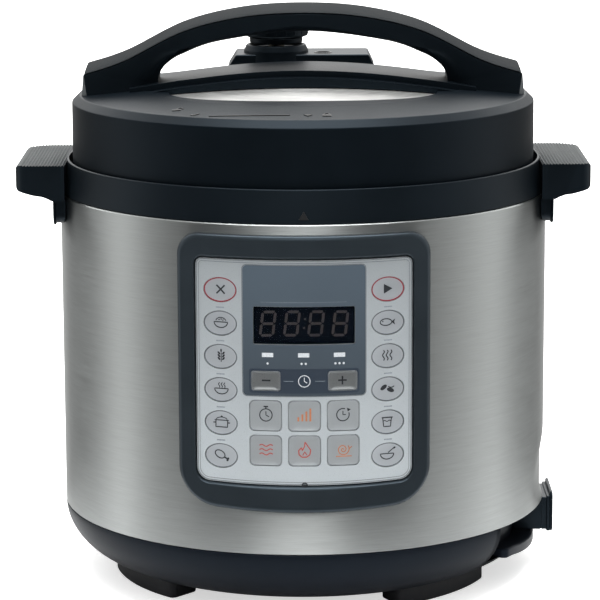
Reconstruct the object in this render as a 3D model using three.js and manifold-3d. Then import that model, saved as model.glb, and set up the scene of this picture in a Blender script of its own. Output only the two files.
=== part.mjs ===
// Electric pressure cooker, millimetres, +Z up, control panel towards -Y.
// The origin is the centre of the whole outline on the surface that the cooker stands on. The solids
// are drawn about the axis of the pot, and each piece is then placed with that axis at AXIS_Y.
import * as THREE from 'three';
import { mergeVertices } from 'three/addons/utils/BufferGeometryUtils.js';
import Module from 'manifold-3d';

const wasm = await Module();
wasm.setup();

// Driving dimensions
const AXIS_Y = -11.8; // the condensate cup makes the outline reach further back than forward
const GAP = 0.3; // clearance left between two pieces that meet
const BODY_RADIUS = 138; // outside of the stainless wall
const BODY_BOTTOM = 41;
const BODY_TOP = 220.6;
const SHELL_WALL = 1.2;
const RING_TOP = 238.7;
const RING_TOP_RADIUS = 134.2;
const HANDLE_REACH = 160.5; // from the axis to the end of a side handle
const HANDLE_WIDTH = 86;
const FLOOR_RADIUS = 89.7; // flat underside of the base
const FLOOR_HEIGHT = 6.2;
const BASE_WALL = 2.6;
const LID_RADIUS = 130.6;
const LID_EDGE = 274.5; // inner edge of the bevel round the lid
const LID_CROWN = 277.8;
const PAN_RADIUS = 128.4;
const PAN_WALL = 1.6;
const PAN_BOTTOM = 222;
const DOME_RADIUS = 86; // raised stainless middle of the lid pan
const DOME_BASE = 275.6;
const DOME_RISE = 4.6;
const POT_RADIUS = 112;
const POT_BOTTOM = 60.4;
const POT_RIM = 235.2;
const LINER_RADIUS = 119.6;
const LINER_TOP = 232.4;
const ARCH_HALF_LENGTH = 122.5;
const ARCH_HALF_WIDTH = 19;
const LUGS = 6; // bayonet lugs on the lid and on the cooker
const LUG_ANGLE = 20;
const PANEL_RADIUS = 140.4; // face of the panel sheet
const PANEL_BACK = BODY_RADIUS + GAP + 0.1;
const KEY_FACE = 139.9; // the keys sit just below the sheet
const KEY_THICKNESS = 1.2;
const VALVE_X = -15.5;
const VALVE_Y = 60;
const FLOAT_X = 12;
const FLOAT_Y = 56;
const INLET_Z = 31.1;
const INLET_HALF_WIDTH = 16.8; // half the opening that the inlet passes through
const INLET_HALF_HEIGHT = 9.9;

// Facets round a turned piece
const FINE = 40;
const MEDIUM = 32;
const COARSE = 20;

const MERGE_DISTANCE = 1e-4;
const FAR = 200; // longer than any cut needs

const POLISHED = { color: 0xb9bab8, metalness: 1, roughness: 0.3 };
const STEEL = { color: 0x9d9f9c, metalness: 1, roughness: 0.45 };
const BLACK = { color: 0x1b1d20, metalness: 0, roughness: 0.5 };
const BLUE_BLACK = { color: 0x20242b, metalness: 0, roughness: 0.5 };
const GREY = { color: 0x7d8082, metalness: 0, roughness: 0.4 };
const SILVER = { color: 0xb7babf, metalness: 0.3, roughness: 0.4 };
const WHITE = { color: 0xd3d5d8, metalness: 0, roughness: 0.4 };
const RUBBER = { color: 0x17181a, metalness: 0, roughness: 0.9 };
const SILICONE = { color: 0xc9cbc8, metalness: 0, roughness: 0.7 };
const BOARD = { color: 0x1f5c35, metalness: 0, roughness: 0.6 };
const GLASS = { color: 0x101418, metalness: 0, roughness: 0.1 };
const BRASS = { color: 0xb08d4a, metalness: 1, roughness: 0.35 };

const group = new THREE.Group();

// ---------- solids ----------

function signedVolume(positions, triangles) {
  const corner = (i) => new THREE.Vector3().fromArray(positions, 3 * triangles[i]);
  let sum = 0;
  for (let i = 0; i < triangles.length; i += 3) {
    sum += corner(i).dot(corner(i + 1).cross(corner(i + 2)));
  }
  return sum / 6;
}

function solid(geometry) {
  const bare = new THREE.BufferGeometry();
  bare.setAttribute('position', geometry.getAttribute('position'));
  bare.setIndex(geometry.getIndex());
  const merged = mergeVertices(bare, MERGE_DISTANCE);
  const positions = merged.getAttribute('position').array;
  const index = merged.getIndex().array;
  const triangles = [];
  for (let i = 0; i < index.length; i += 3) {
    const [a, b, c] = [index[i], index[i + 1], index[i + 2]];
    if (a !== b && b !== c && c !== a) triangles.push(a, b, c);
  }
  if (signedVolume(positions, triangles) < 0) triangles.reverse();
  const mesh = new wasm.Mesh({
    numProp: 3,
    vertProperties: new Float32Array(positions),
    triVerts: new Uint32Array(triangles),
  });
  return new wasm.Manifold(mesh);
}

function unite(...parts) {
  return parts.reduce((whole, part) => whole.add(part));
}

function cut(whole, ...parts) {
  return parts.reduce((rest, part) => rest.subtract(part), whole);
}

function addPiece(name, manifold, finish, angle = 0) {
  const mesh = manifold.getMesh();
  const geometry = new THREE.BufferGeometry();
  geometry.setAttribute('position', new THREE.BufferAttribute(mesh.vertProperties, 3));
  geometry.setIndex(new THREE.BufferAttribute(mesh.triVerts, 1));
  geometry.computeVertexNormals();
  const piece = new THREE.Mesh(geometry, new THREE.MeshStandardMaterial(finish));
  piece.name = name;
  piece.position.y = AXIS_Y;
  piece.rotation.z = angle;
  group.add(piece);
}

// A profile of [radius, height] pairs turned about the vertical through (x, y).
function turned(profile, segments = MEDIUM, x = 0, y = 0) {
  const points = profile.map(([r, z]) => new THREE.Vector2(r, z));
  const closesOnAxis = profile[0][0] === 0 && profile.at(-1)[0] === 0;
  if (!closesOnAxis) points.push(points[0].clone());
  const geometry = new THREE.LatheGeometry(points, segments);
  return solid(geometry.rotateX(Math.PI / 2).translate(x, y, 0));
}

function disc(radius, low, high, segments = COARSE, x = 0, y = 0) {
  return turned([[0, low], [radius, low], [radius, high], [0, high]], segments, x, y);
}

function ring(inner, outer, low, high, segments = MEDIUM, x = 0, y = 0) {
  return turned([[inner, low], [outer, low], [outer, high], [inner, high]], segments, x, y);
}

function box(x0, x1, y0, y1, z0, z1) {
  const geometry = new THREE.BoxGeometry(x1 - x0, y1 - y0, z1 - z0);
  return solid(geometry.translate((x0 + x1) / 2, (y0 + y1) / 2, (z0 + z1) / 2));
}

function polygon(points) {
  return new THREE.Shape(points.map(([x, y]) => new THREE.Vector2(x, y)));
}

function extruded(shape, depth, curveSegments = 6) {
  return new THREE.ExtrudeGeometry(shape, { depth, bevelEnabled: false, curveSegments });
}

// A plan outline (x, y) raised from z0 to z1.
function raised(shape, z0, z1, curveSegments) {
  return solid(extruded(shape, z1 - z0, curveSegments).translate(0, 0, z0));
}

// A front outline (x, z) carried from y0 to y1, then turned round the axis.
function carried(shape, y0, y1, curveSegments, angle = 0) {
  const geometry = extruded(shape, y1 - y0, curveSegments);
  return solid(geometry.rotateX(Math.PI / 2).translate(0, y1, 0).rotateZ(angle));
}

// A side outline (y, z) carried from x0 to x1.
function carriedAcross(shape, x0, x1, curveSegments) {
  const geometry = extruded(shape, x1 - x0, curveSegments);
  return solid(geometry.rotateX(Math.PI / 2).rotateZ(Math.PI / 2).translate(x0, 0, 0));
}

function roundedRectangle(centreX, centreY, width, height, radius) {
  const [x0, x1] = [centreX - width / 2, centreX + width / 2];
  const [y0, y1] = [centreY - height / 2, centreY + height / 2];
  const shape = new THREE.Shape();
  shape.moveTo(x0 + radius, y0);
  shape.lineTo(x1 - radius, y0);
  shape.absarc(x1 - radius, y0 + radius, radius, -Math.PI / 2, 0);
  shape.lineTo(x1, y1 - radius);
  shape.absarc(x1 - radius, y1 - radius, radius, 0, Math.PI / 2);
  shape.lineTo(x0 + radius, y1);
  shape.absarc(x0 + radius, y1 - radius, radius, Math.PI / 2, Math.PI);
  shape.lineTo(x0, y0 + radius);
  shape.absarc(x0 + radius, y0 + radius, radius, Math.PI, 1.5 * Math.PI);
  return shape;
}

// A plan sector between two radii, centred on an angle measured from +X.
function sector(inner, outer, centre, width) {
  const start = THREE.MathUtils.degToRad(centre - width / 2);
  const end = THREE.MathUtils.degToRad(centre + width / 2);
  const shape = new THREE.Shape();
  shape.absarc(0, 0, outer, start, end, false);
  shape.absarc(0, 0, inner, end, start, true);
  return shape;
}

// ---------- housing ----------

const SHELL_OUTSIDE = disc(BODY_RADIUS + GAP, 0, BODY_TOP + GAP, FINE);

function addHousingShell() {
  const blank = ring(BODY_RADIUS - SHELL_WALL, BODY_RADIUS, BODY_BOTTOM, BODY_TOP - GAP, FINE);
  const displayOpening = box(-30, 30, -FAR, -100, 148, 186);
  const inletOpening = box(100, FAR, -INLET_HALF_WIDTH, INLET_HALF_WIDTH, 0, INLET_Z + INLET_HALF_HEIGHT);
  addPiece('housing_shell', cut(blank, displayOpening, inletOpening), POLISHED);
}

// Points of a quarter circle that starts at an angle in degrees.
function arcPoints(x, y, radius, start, steps = 6) {
  return Array.from({ length: steps + 1 }, (_, i) => {
    const angle = THREE.MathUtils.degToRad(start + (90 * i) / steps);
    return [x + radius * Math.cos(angle), y + radius * Math.sin(angle)];
  });
}

// Side handle (side 1 right, -1 left): a wing with a rounded end, thicker where it joins the ring.
function handleWing(side) {
  const end = HANDLE_REACH;
  const outline = [
    [126, RING_TOP], [end - 2.5, RING_TOP], [end, RING_TOP - 2.5], [end, 226.5],
    [end - 2.5, 223.6], [146, 221.2], [141.5, 219.9], [138.5, 219], [126, 219],
  ];
  const front = polygon(outline.map(([x, z]) => [side * x, z]));
  const half = HANDLE_WIDTH / 2;
  const corners = [
    [60, -half], ...arcPoints(end - 7, 7 - half, 7, -90),
    ...arcPoints(end - 24, half - 24, 24, 0), [60, half],
  ];
  const plan = polygon(corners.map(([x, y]) => [side * x, y]));
  const wing = carried(front, -HANDLE_WIDTH / 2, HANDLE_WIDTH / 2).intersect(raised(plan, 200, 260));
  return cut(wing, SHELL_OUTSIDE, disc(RING_TOP_RADIUS - 0.9, 200, 260, FINE));
}

// The upper ring holds the gutter that the lid drops into, and carries both handles.
function addRimRing() {
  const wall = turned([
    [137, BODY_TOP + GAP], [RING_TOP_RADIUS, RING_TOP], [132.9, RING_TOP], [131.3, 217],
    [122, 217], [122, 214.5], [136.3, 214.5], [136.3, BODY_TOP + GAP],
  ], FINE);
  const spout = cut(box(-6, 6, 133.6, 152, 222.5, 228), box(-4, 4, 120, 150, 224.5, FAR + 30));
  addPiece('rim_ring', unite(wall, handleWing(1), handleWing(-1), spout), BLACK);
}

// Bracket between a side handle and the stainless wall.
function addHandleBraces() {
  const shape = new THREE.Shape();
  const [half, low, high, round, face] = [40, 204, 218.6, 8, 139.8];
  shape.moveTo(-half, high);
  shape.lineTo(-half, low + round);
  shape.absarc(-half + round, low + round, round, Math.PI, 1.5 * Math.PI);
  shape.lineTo(half - round, low);
  shape.absarc(half - round, low + round, round, -Math.PI / 2, 0);
  shape.lineTo(half, high);
  addPiece('right_handle_brace', cut(carriedAcross(shape, 120, face), SHELL_OUTSIDE), BLACK);
  addPiece('left_handle_brace', cut(carriedAcross(shape, -face, -120), SHELL_OUTSIDE), BLACK);
}

// Quarter-ellipse side of the base, from the flat floor up to the stainless wall.
function bowlProfile(offset, steps = 5) {
  const points = [];
  for (let i = 0; i <= steps; i += 1) {
    const angle = (Math.PI / 2) * (i / steps);
    const across = BODY_RADIUS - FLOOR_RADIUS + offset;
    const down = BODY_BOTTOM - GAP - FLOOR_HEIGHT + offset;
    points.push([FLOOR_RADIUS + across * Math.sin(angle), BODY_BOTTOM - GAP - down * Math.cos(angle)]);
  }
  return points;
}

// Bay round the mains inlet: a shelf stands out below it and the wall above is set back.
const BAY = { width: 76, shelf: 64, low: 10.5, high: 19.7, back: 121, reach: 133 };

function addBase() {
  const outer = bowlProfile(0);
  const inner = bowlProfile(-BASE_WALL).reverse();
  const bowl = turned([[0, outer[0][1]], ...outer, ...inner, [0, inner.at(-1)[1]]], FINE);
  const envelope = turned([[0, FLOOR_HEIGHT], ...outer, [0, BODY_BOTTOM - GAP]], FINE);
  const bayBlock = raised(sector(116, BODY_RADIUS, 0, BAY.width + 3), BAY.low, BODY_BOTTOM, 6);
  const shelf = raised(sector(112, BAY.reach, 0, BAY.shelf), BAY.low, BAY.high, 6);
  const bayHollow = raised(sector(BAY.back, FAR, 0, BAY.width), BAY.high, FAR, 6);
  const corners = [[-46, 20], [36, 20], [-46, 66], [36, 66]];
  const posts = corners.map(([x, y]) => disc(3.5, 8, 23.7, 10, x, y));
  const vents = [-40, -20, 0, 20, 40].map((x) => box(x - 2.5, x + 2.5, -70, -45, 0, 12));
  const inletOpening = box(100, FAR, -INLET_HALF_WIDTH, INLET_HALF_WIDTH,
    INLET_Z - INLET_HALF_HEIGHT, INLET_Z + INLET_HALF_HEIGHT);
  const solid = unite(bowl, bayBlock.intersect(envelope), shelf, ...posts);
  const body = cut(solid, bayHollow, inletOpening, ...vents);
  addPiece('base', body, BLUE_BLACK);
}

function addFeet() {
  const places = { front_right: -39.5, front_left: -149.5, rear_left: 140.5, rear_right: 30.5 };
  const bowl = turned([[0, FLOOR_HEIGHT - GAP], ...bowlProfile(GAP), [BODY_RADIUS + GAP, 60], [0, 60]],
    FINE);
  for (const [place, angle] of Object.entries(places)) {
    const pad = raised(sector(90, 110, angle, 40), 0, 20, 4);
    addPiece(`foot_${place}`, cut(pad, bowl), RUBBER);
  }
}

function addLiner() {
  const wall = LINER_RADIUS;
  const profile = [
    [24, 50], [112, 50], [wall, 58], [wall, LINER_TOP], [wall - 1, LINER_TOP],
    [wall - 1, 58.4], [111.6, 51], [24, 51],
  ];
  addPiece('chamber_liner', turned(profile), STEEL);
}

// Steel ring round the chamber, with the lugs that the lid turns under.
function addLockingRing() {
  const band = ring(120, 121.6, 208, 231);
  const lugs = lugRing(121, 125.6, 228, 230.6);
  addPiece('locking_ring', unite(band, ...lugs), STEEL);
}

function lugRing(inner, outer, low, high) {
  const lugs = [];
  for (let i = 0; i < LUGS; i += 1) {
    lugs.push(raised(sector(inner, outer, (i * 360) / LUGS, LUG_ANGLE), low, high, 2));
  }
  return lugs;
}

function addHeater() {
  const top = POT_BOTTOM - 0.4;
  const profile = [[19, 53.5], [90, 53.5], [92, 55], [92, 58.5], [88, top], [19, top]];
  addPiece('heating_plate', turned(profile), STEEL);
}

// Spring-loaded temperature sensor in the middle of the heating plate.
function addSensor() {
  const head = [[0, 43.5], [4.5, 43.5], [4.5, 56.6], [15.5, 56.6], [15.5, 59], [14, 60], [0, 60]];
  addPiece('sensor_cap', turned(head, COARSE), STEEL);
  const seat = polygon([
    [-36, 49.7], [-36, 37.6], [36, 37.6], [36, 49.7], [33.6, 49.7], [33.6, 40], [-33.6, 40], [-33.6, 49.7],
  ]);
  addPiece('sensor_bracket', carried(seat, -10, 10), STEEL);
  addPiece('sensor_spring', coilSpring(8.5, 0.7, 41.1, 55.8, 3), STEEL);
}

function coilSpring(radius, wire, low, high, turns) {
  const steps = turns * 9;
  const points = Array.from({ length: steps + 1 }, (_, i) => {
    const angle = (2 * Math.PI * turns * i) / steps;
    const height = low + ((high - low) * i) / steps;
    return new THREE.Vector3(radius * Math.cos(angle), radius * Math.sin(angle), height);
  });
  const section = new THREE.Shape().absarc(0, 0, wire, 0, 2 * Math.PI);
  const path = new THREE.CatmullRomCurve3(points);
  const options = { steps, curveSegments: 3, bevelEnabled: false, extrudePath: path };
  return solid(new THREE.ExtrudeGeometry(section, options));
}

function addBoards() {
  addPiece('control_board', box(-46, 46, -126, -124.4, 92, 196), BOARD);
  addPiece('display_module', box(-26.6, 26.6, -135.4, -126.4, 156.8, 177.2), BLACK);
  const parts = [box(-40, -18, 28, 50, 25, 42), disc(8, 25, 44, 12, 8, 34), disc(8, 25, 40, 12, 8, 56)];
  addPiece('power_board', unite(box(-50, 40, 16, 70, 24, 25.6), ...parts), BOARD);
}

function addInlet() {
  const [halfWidth, halfHeight] = [INLET_HALF_WIDTH - GAP, INLET_HALF_HEIGHT - GAP];
  const barrel = box(112, 142, -halfWidth, halfWidth, INLET_Z - halfHeight, INLET_Z + halfHeight);
  const flange = carriedAcross(roundedRectangle(0, 32.3, 36, 23.4, 3), 141.4, 143.2);
  const socket = box(127, FAR, -12.2, 12.2, INLET_Z - 8.3, INLET_Z + 8.3);
  addPiece('inlet_housing', cut(unite(barrel, flange), socket), BLACK);
  const pins = { line: [-7, INLET_Z - 2], neutral: [7, INLET_Z - 2], earth: [0, INLET_Z + 2.5] };
  for (const [name, [y, z]] of Object.entries(pins)) {
    addPiece(`inlet_pin_${name}`, box(127.3, 141, y - 1, y + 1, z - 2, z + 2), BRASS);
  }
}

// Rail on the back of the cooker and the cup that hooks on to it.
function addCondensateCup() {
  const rail = raised(polygon([
    [-5, 138.4], [5, 138.4], [5, 143.6], [12, 143.6], [12, 146], [-12, 146], [-12, 143.6], [-5, 143.6],
  ]), 150, 192);
  const stop = box(-16, 16, 138.4, 147.5, 192, 194.5);
  addPiece('condensate_bracket', unite(rail, stop), BLACK);
  const channel = raised(polygon([
    [-16, 140.8], [-5.4, 140.8], [-5.4, 143.2], [-12.4, 143.2], [-12.4, 146.4], [12.4, 146.4],
    [12.4, 143.2], [5.4, 143.2], [5.4, 140.8], [16, 140.8], [16, 148.5], [-16, 148.5],
  ]), 150, 191.6);
  const outside = raised(roundedRectangle(0, 156.8, 52, 20, 6), 124, 191.6, 3);
  const inside = raised(roundedRectangle(0, 156.8, 48.8, 16.8, 4.4), 125.6, FAR, 3);
  addPiece('condensate_cup', cut(unite(outside, channel), inside), GLASS);
}

// ---------- control panel ----------

// Part of the wall's curve between two radii, inside an outline seen from the front.
function curvedPlate(inner, outer, outline) {
  const wall = ring(inner, outer, 50, 230, FINE);
  return wall.intersect(carried(outline, -FAR, -100, 5));
}

const SHEET = { half: 57.5, low: 80.4, high: 202, top: 3.7, bottom: 6.7, bow: 1 };
const BEZEL = { half: 67.4, low: 65.2, high: 215.2, top: 12, bottom: 20, bow: 3.5 };

// Panel edge seen from the front: round corners and a bottom that bows down in the middle.
function panelEdge({ half, low, high, top, bottom, bow }, grow = 0) {
  const [x, base, crown] = [half + grow, low - grow, high + grow];
  const [topRound, bottomRound] = [top + grow, bottom + grow];
  const shape = new THREE.Shape();
  shape.moveTo(bottomRound - x, base + bow);
  shape.quadraticCurveTo(0, base - bow, x - bottomRound, base + bow);
  shape.absarc(x - bottomRound, base + bow + bottomRound, bottomRound, -Math.PI / 2, 0);
  shape.absarc(x - topRound, crown - topRound, topRound, 0, Math.PI / 2);
  shape.absarc(topRound - x, crown - topRound, topRound, Math.PI / 2, Math.PI);
  shape.absarc(bottomRound - x, base + bow + bottomRound, bottomRound, Math.PI, 1.5 * Math.PI);
  return shape;
}
const DISPLAY = { width: 53.8, height: 20.4, z: 167 };

// Keys as [name, degrees round from the front, height, width, height of key, corner radius].
function keyList() {
  const keys = [];
  const side = ['top', 'second', 'third', 'fourth', 'fifth', 'bottom'];
  side.forEach((place, i) => {
    const z = 185.3 - i * 18.05;
    keys.push([`key_left_${place}`, -18.5, z, 18.2, 13, 6.49]);
    keys.push([`key_right_${place}`, 18.5, z, 18.2, 13, 6.49]);
  });
  ['left', 'middle', 'right'].forEach((place, i) => {
    const angle = (i - 1) * 8.45;
    keys.push([`key_upper_${place}`, angle, 118.1, 17, 16.4, 2.5]);
    keys.push([`key_lower_${place}`, angle, 99.1, 17, 16.4, 2.5]);
  });
  keys.push(['key_minus', -8.35, 137.1, 15.3, 10.2, 1.2]);
  keys.push(['key_plus', 8.35, 137.1, 15.3, 10.2, 1.2]);
  return keys;
}

function keyBlock(width, height, radius, z, front, back, angle = 0) {
  return carried(roundedRectangle(0, z, width, height, radius), -front, -back, 1, angle);
}

function addPanel() {
  const sheetOpening = carried(panelEdge(SHEET, GAP), -FAR, -100, 5);
  const bezel = cut(curvedPlate(PANEL_BACK, 143.2, panelEdge(BEZEL)), sheetOpening);
  addPiece('panel_bezel', bezel, BLACK);

  let sheet = curvedPlate(PANEL_BACK, PANEL_RADIUS, panelEdge(SHEET));
  sheet = cut(sheet, box(-DISPLAY.width / 2, DISPLAY.width / 2, -FAR, -100,
    DISPLAY.z - DISPLAY.height / 2, DISPLAY.z + DISPLAY.height / 2));
  for (const [name, degrees, z, width, height, radius] of keyList()) {
    const angle = THREE.MathUtils.degToRad(degrees);
    sheet = cut(sheet, keyBlock(width + 2 * GAP, height + 2 * GAP, radius + GAP, z, FAR, 100, angle));
    const key = keyBlock(width, height, radius, z, KEY_FACE, KEY_FACE - KEY_THICKNESS);
    addPiece(name, key, name.includes('minus') || name.includes('plus') ? SILVER : WHITE, angle);
  }
  addPiece('panel_overlay', sheet, SILVER);
  const windowEdge = roundedRectangle(0, DISPLAY.z, DISPLAY.width - 0.6, DISPLAY.height - 0.6, 0.5);
  addPiece('display_window', curvedPlate(PANEL_BACK, PANEL_RADIUS, windowEdge), GLASS);
}

// ---------- pot and lid ----------

function addInnerPot() {
  const wall = 1.2;
  const outside = POT_RADIUS;
  addPiece('inner_pot', turned([
    [0, POT_BOTTOM], [100, POT_BOTTOM], [108.5, 63.9], [outside, 72.4], [outside, 228], [114, 231.5],
    [119.4, LINER_TOP + GAP], [119.4, POT_RIM], [113.2, POT_RIM], [outside - wall, 228],
    [outside - wall, 72.9], [107.7, 65.2], [99.8, POT_BOTTOM + wall], [0, POT_BOTTOM + wall],
  ]), POLISHED);
}

function addSealingRing() {
  addPiece('sealing_ring', turned([
    [110.5, POT_RIM + GAP], [120.8, POT_RIM + GAP], [121.6, 247], [117.4, 247], [117, 239.8], [110.5, 238.2],
  ]), SILICONE);
}

function domeHeight(radius) {
  return DOME_BASE + DOME_RISE * (1 - (radius / DOME_RADIUS) ** 2);
}

// Outside of the lid pan from its skirt to the axis, grown by an offset.
function panOutside(offset) {
  const shoulder = [[PAN_RADIUS, 262], [124, 268.5], [110, 271.5], [95, 273.6]];
  const dome = [DOME_RADIUS, 50, 0].map((r) => [r, domeHeight(r)]);
  return [...shoulder, ...dome].map(([r, z]) => [r > 0 ? r + offset : 0, z + offset]);
}

function panEnvelope(offset) {
  const outside = panOutside(offset);
  return turned([[0, PAN_BOTTOM - 20], [outside[0][0], PAN_BOTTOM - 20], ...outside], FINE);
}

function addLidPan() {
  const outer = [[PAN_RADIUS, PAN_BOTTOM], ...panOutside(0)];
  const inner = [...panOutside(-PAN_WALL).reverse(), [PAN_RADIUS - PAN_WALL, PAN_BOTTOM]];
  const shell = turned([...outer, ...inner], FINE);
  const lugs = lugRing(122.2, PAN_RADIUS - 1, PAN_BOTTOM, PAN_BOTTOM + 2.6);
  const ventHole = disc(1.6, 250, FAR + 100, 10, VALVE_X, VALVE_Y);
  const floatHole = disc(3.1, 250, FAR + 100, 14, FLOAT_X, FLOAT_Y);
  addPiece('lid_pan', cut(unite(shell, ...lugs), ventHole, floatHole), POLISHED);
}

function coverBlank(offset) {
  const r = LID_RADIUS + offset;
  return turned([
    [0, 231], [r + 0.2, 231], [r, 268], [r - 0.5, 271.2 + offset], [r - 1.9, 273.5 + offset],
    [r - 4.1, LID_EDGE + offset], [92, LID_CROWN + offset], [0, LID_CROWN + offset],
  ], FINE);
}

// Raised bridge across the lid between the feet of the arch, with a step along both sides.
function bridge(offset) {
  const top = (drop) => {
    const shape = new THREE.Shape();
    shape.moveTo(-97, 268);
    shape.lineTo(-97, 279.2 - drop);
    shape.splineThru([
      [-70, 283.6 - drop], [-34, 287.6 - drop], [0, 289 - drop], [34, 287.6 - drop], [70, 283.6 - drop],
      [97, 279.2 - drop],
    ].map(([x, z]) => new THREE.Vector2(x, z + offset)));
    shape.lineTo(97, 268);
    return shape;
  };
  const ridge = carried(top(0), -24 - offset, 24 + offset, 3);
  const step = carried(top(3.4), -30 - offset, 30 + offset, 3);
  return unite(ridge, step);
}

// Crescent opening beside the bridge, in front (side -1) or behind (side 1).
function crescent(side) {
  const shape = new THREE.Shape();
  shape.moveTo(-75, 0);
  shape.lineTo(-75, side * 30);
  shape.bezierCurveTo(-73, side * 60, -50, side * 71.5, 0, side * 71.5);
  shape.bezierCurveTo(50, side * 71.5, 73, side * 60, 75, side * 30);
  shape.lineTo(75, 0);
  return raised(shape, 240, 300, 6);
}

function addLidCover() {
  const windows = unite(crescent(-1), crescent(1));
  const plate = unite(cut(coverBlank(0), windows), bridge(0));
  addPiece('lid_cover', cut(plate, panEnvelope(0.5)), BLACK);
}

// The arch's upper line, from its middle out to one end, lowered by a drop.
function archLine(drop) {
  const half = [[34, 321.7], [67, 313.7], [100, 297.4], [ARCH_HALF_LENGTH, 290]];
  const left = half.map(([x, z]) => [-x, z]).reverse();
  return [...left, [0, 323.9], ...half].map(([x, z]) => new THREE.Vector2(x, z - drop));
}

function addArch() {
  const cap = new THREE.Shape();
  cap.setFromPoints([...new THREE.SplineCurve(archLine(0)).getPoints(20),
    ...new THREE.SplineCurve(archLine(3)).getPoints(20).reverse()]);
  addPiece('handle_cap', carried(cap, -ARCH_HALF_WIDTH, ARCH_HALF_WIDTH), GREY);

  const grip = [[-81.5, 281.6], [-80.3, 287], [-76, 292.4], [-67.3, 297.7], [-45.8, 305], [0, 310.3],
    [45.8, 305], [67.3, 297.7], [76, 292.4], [80.3, 287], [81.5, 281.6]];
  const underside = new THREE.SplineCurve(grip.map(([x, z]) => new THREE.Vector2(x, z)));
  const arch = new THREE.Shape();
  arch.setFromPoints([...new THREE.SplineCurve(archLine(3 + GAP)).getPoints(20),
    new THREE.Vector2(124, 268), new THREE.Vector2(81.5, 268), ...underside.getPoints(20).reverse(),
    new THREE.Vector2(-81.5, 268), new THREE.Vector2(-124, 268)]);
  const blank = carried(arch, -ARCH_HALF_WIDTH, ARCH_HALF_WIDTH);
  addPiece('handle_arch', cut(blank, coverBlank(GAP), bridge(GAP)), BLACK);
}

// Rack that holds the sealing ring under the lid.
function addWireRack() {
  const radius = 114.6;
  const wire = 1.1;
  const hoop = new THREE.TorusGeometry(radius, wire, 4, 28).translate(0, 0, 242.6);
  const posts = [90, 210, 330].map((degrees) => {
    const angle = THREE.MathUtils.degToRad(degrees);
    return disc(1.5, 242.6, 267, 8, radius * Math.cos(angle), radius * Math.sin(angle));
  });
  addPiece('sealing_ring_rack', unite(solid(hoop), ...posts), STEEL);
}

function addValvePlatform() {
  const profile = polygon([[-43.5, 270], [-43.5, 283], [-38.8, 290.5], [38.5, 290.5], [42, 283], [42, 270]]);
  const skirt = [[0, 288], [19, 288], [18.4, 292.4], [17.2, 295.5], [0, 295.5]];
  const collar = turned(skirt, COARSE, VALVE_X, VALVE_Y);
  const pipeHole = disc(9, 260, FAR + 100, 16, VALVE_X, VALVE_Y);
  const floatHole = disc(3.6, 260, FAR + 100, 14, FLOAT_X, FLOAT_Y);
  const block = unite(carried(profile, 45, 82), collar);
  const under = [panEnvelope(0.8), cut(coverBlank(GAP), crescent(1)), bridge(GAP), pipeHole, floatHole];
  addPiece('valve_platform', cut(block, ...under), BLACK);
}

function addValves() {
  addPiece('steam_pipe', ring(1.6, 4.5, 278.7, 303, 16, VALVE_X, VALVE_Y), STEEL);
  const weight = turned([[0, 303.4], [4.9, 303.4], [4.9, 297.5], [7.5, 297.5], [7.5, 310], [0, 310]],
    16, VALVE_X, VALVE_Y);
  addPiece('valve_weight', weight, STEEL);
  const knob = turned([[7.9, 296.3], [15.5, 296.3], [15.5, 299], [18.7, 300.4], [18.7, 309.5], [17, 312.4],
    [0, 312.4], [0, 310.4], [7.9, 310.4]], COARSE, VALVE_X, VALVE_Y);
  const lever = box(VALVE_X - 5, VALVE_X + 5, VALVE_Y + 12, VALVE_Y + 29, 303, 309.5);
  addPiece('steam_knob', unite(knob, lever), BLACK);
  const float = turned([[0, 262.8], [4.6, 262.8], [4.6, 269.8], [2.6, 270.8], [2.6, 288.6], [0, 288.6]],
    14, FLOAT_X, FLOAT_Y);
  addPiece('float_valve', float, STEEL);
}

addHousingShell();
addRimRing();
addHandleBraces();
addBase();
addFeet();
addLiner();
addLockingRing();
addHeater();
addSensor();
addBoards();
addInlet();
addCondensateCup();
addPanel();
addInnerPot();
addSealingRing();
addLidPan();
addLidCover();
addArch();
addWireRack();
addValvePlatform();
addValves();

export default group;
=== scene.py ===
"""Looks of the electric pressure cooker.

Lengths in the helpers are millimetres, measured from the pot's axis and the surface it stands on.
"""
import math

import bmesh
import bpy
from mathutils import Matrix, Quaternion, Vector


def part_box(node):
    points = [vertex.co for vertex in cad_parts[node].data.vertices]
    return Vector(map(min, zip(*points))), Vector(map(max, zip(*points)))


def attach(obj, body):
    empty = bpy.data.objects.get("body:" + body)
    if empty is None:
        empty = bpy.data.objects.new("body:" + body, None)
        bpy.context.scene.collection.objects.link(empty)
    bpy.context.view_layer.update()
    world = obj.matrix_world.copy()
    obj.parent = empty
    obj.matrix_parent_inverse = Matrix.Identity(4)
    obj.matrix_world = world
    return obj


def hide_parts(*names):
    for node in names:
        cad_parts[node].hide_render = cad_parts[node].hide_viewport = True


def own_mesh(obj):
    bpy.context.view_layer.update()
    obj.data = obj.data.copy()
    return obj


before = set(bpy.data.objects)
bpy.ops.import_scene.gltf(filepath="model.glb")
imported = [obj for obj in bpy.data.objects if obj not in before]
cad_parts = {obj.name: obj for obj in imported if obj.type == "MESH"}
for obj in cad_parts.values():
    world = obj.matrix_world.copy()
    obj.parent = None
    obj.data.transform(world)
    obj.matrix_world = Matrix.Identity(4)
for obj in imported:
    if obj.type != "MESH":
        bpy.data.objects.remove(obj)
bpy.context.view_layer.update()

MM = 0.001
_low, _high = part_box("inner_pot")
AXIS = Vector(((_low.x + _high.x) / 2, (_low.y + _high.y) / 2, 0.0))

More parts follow.
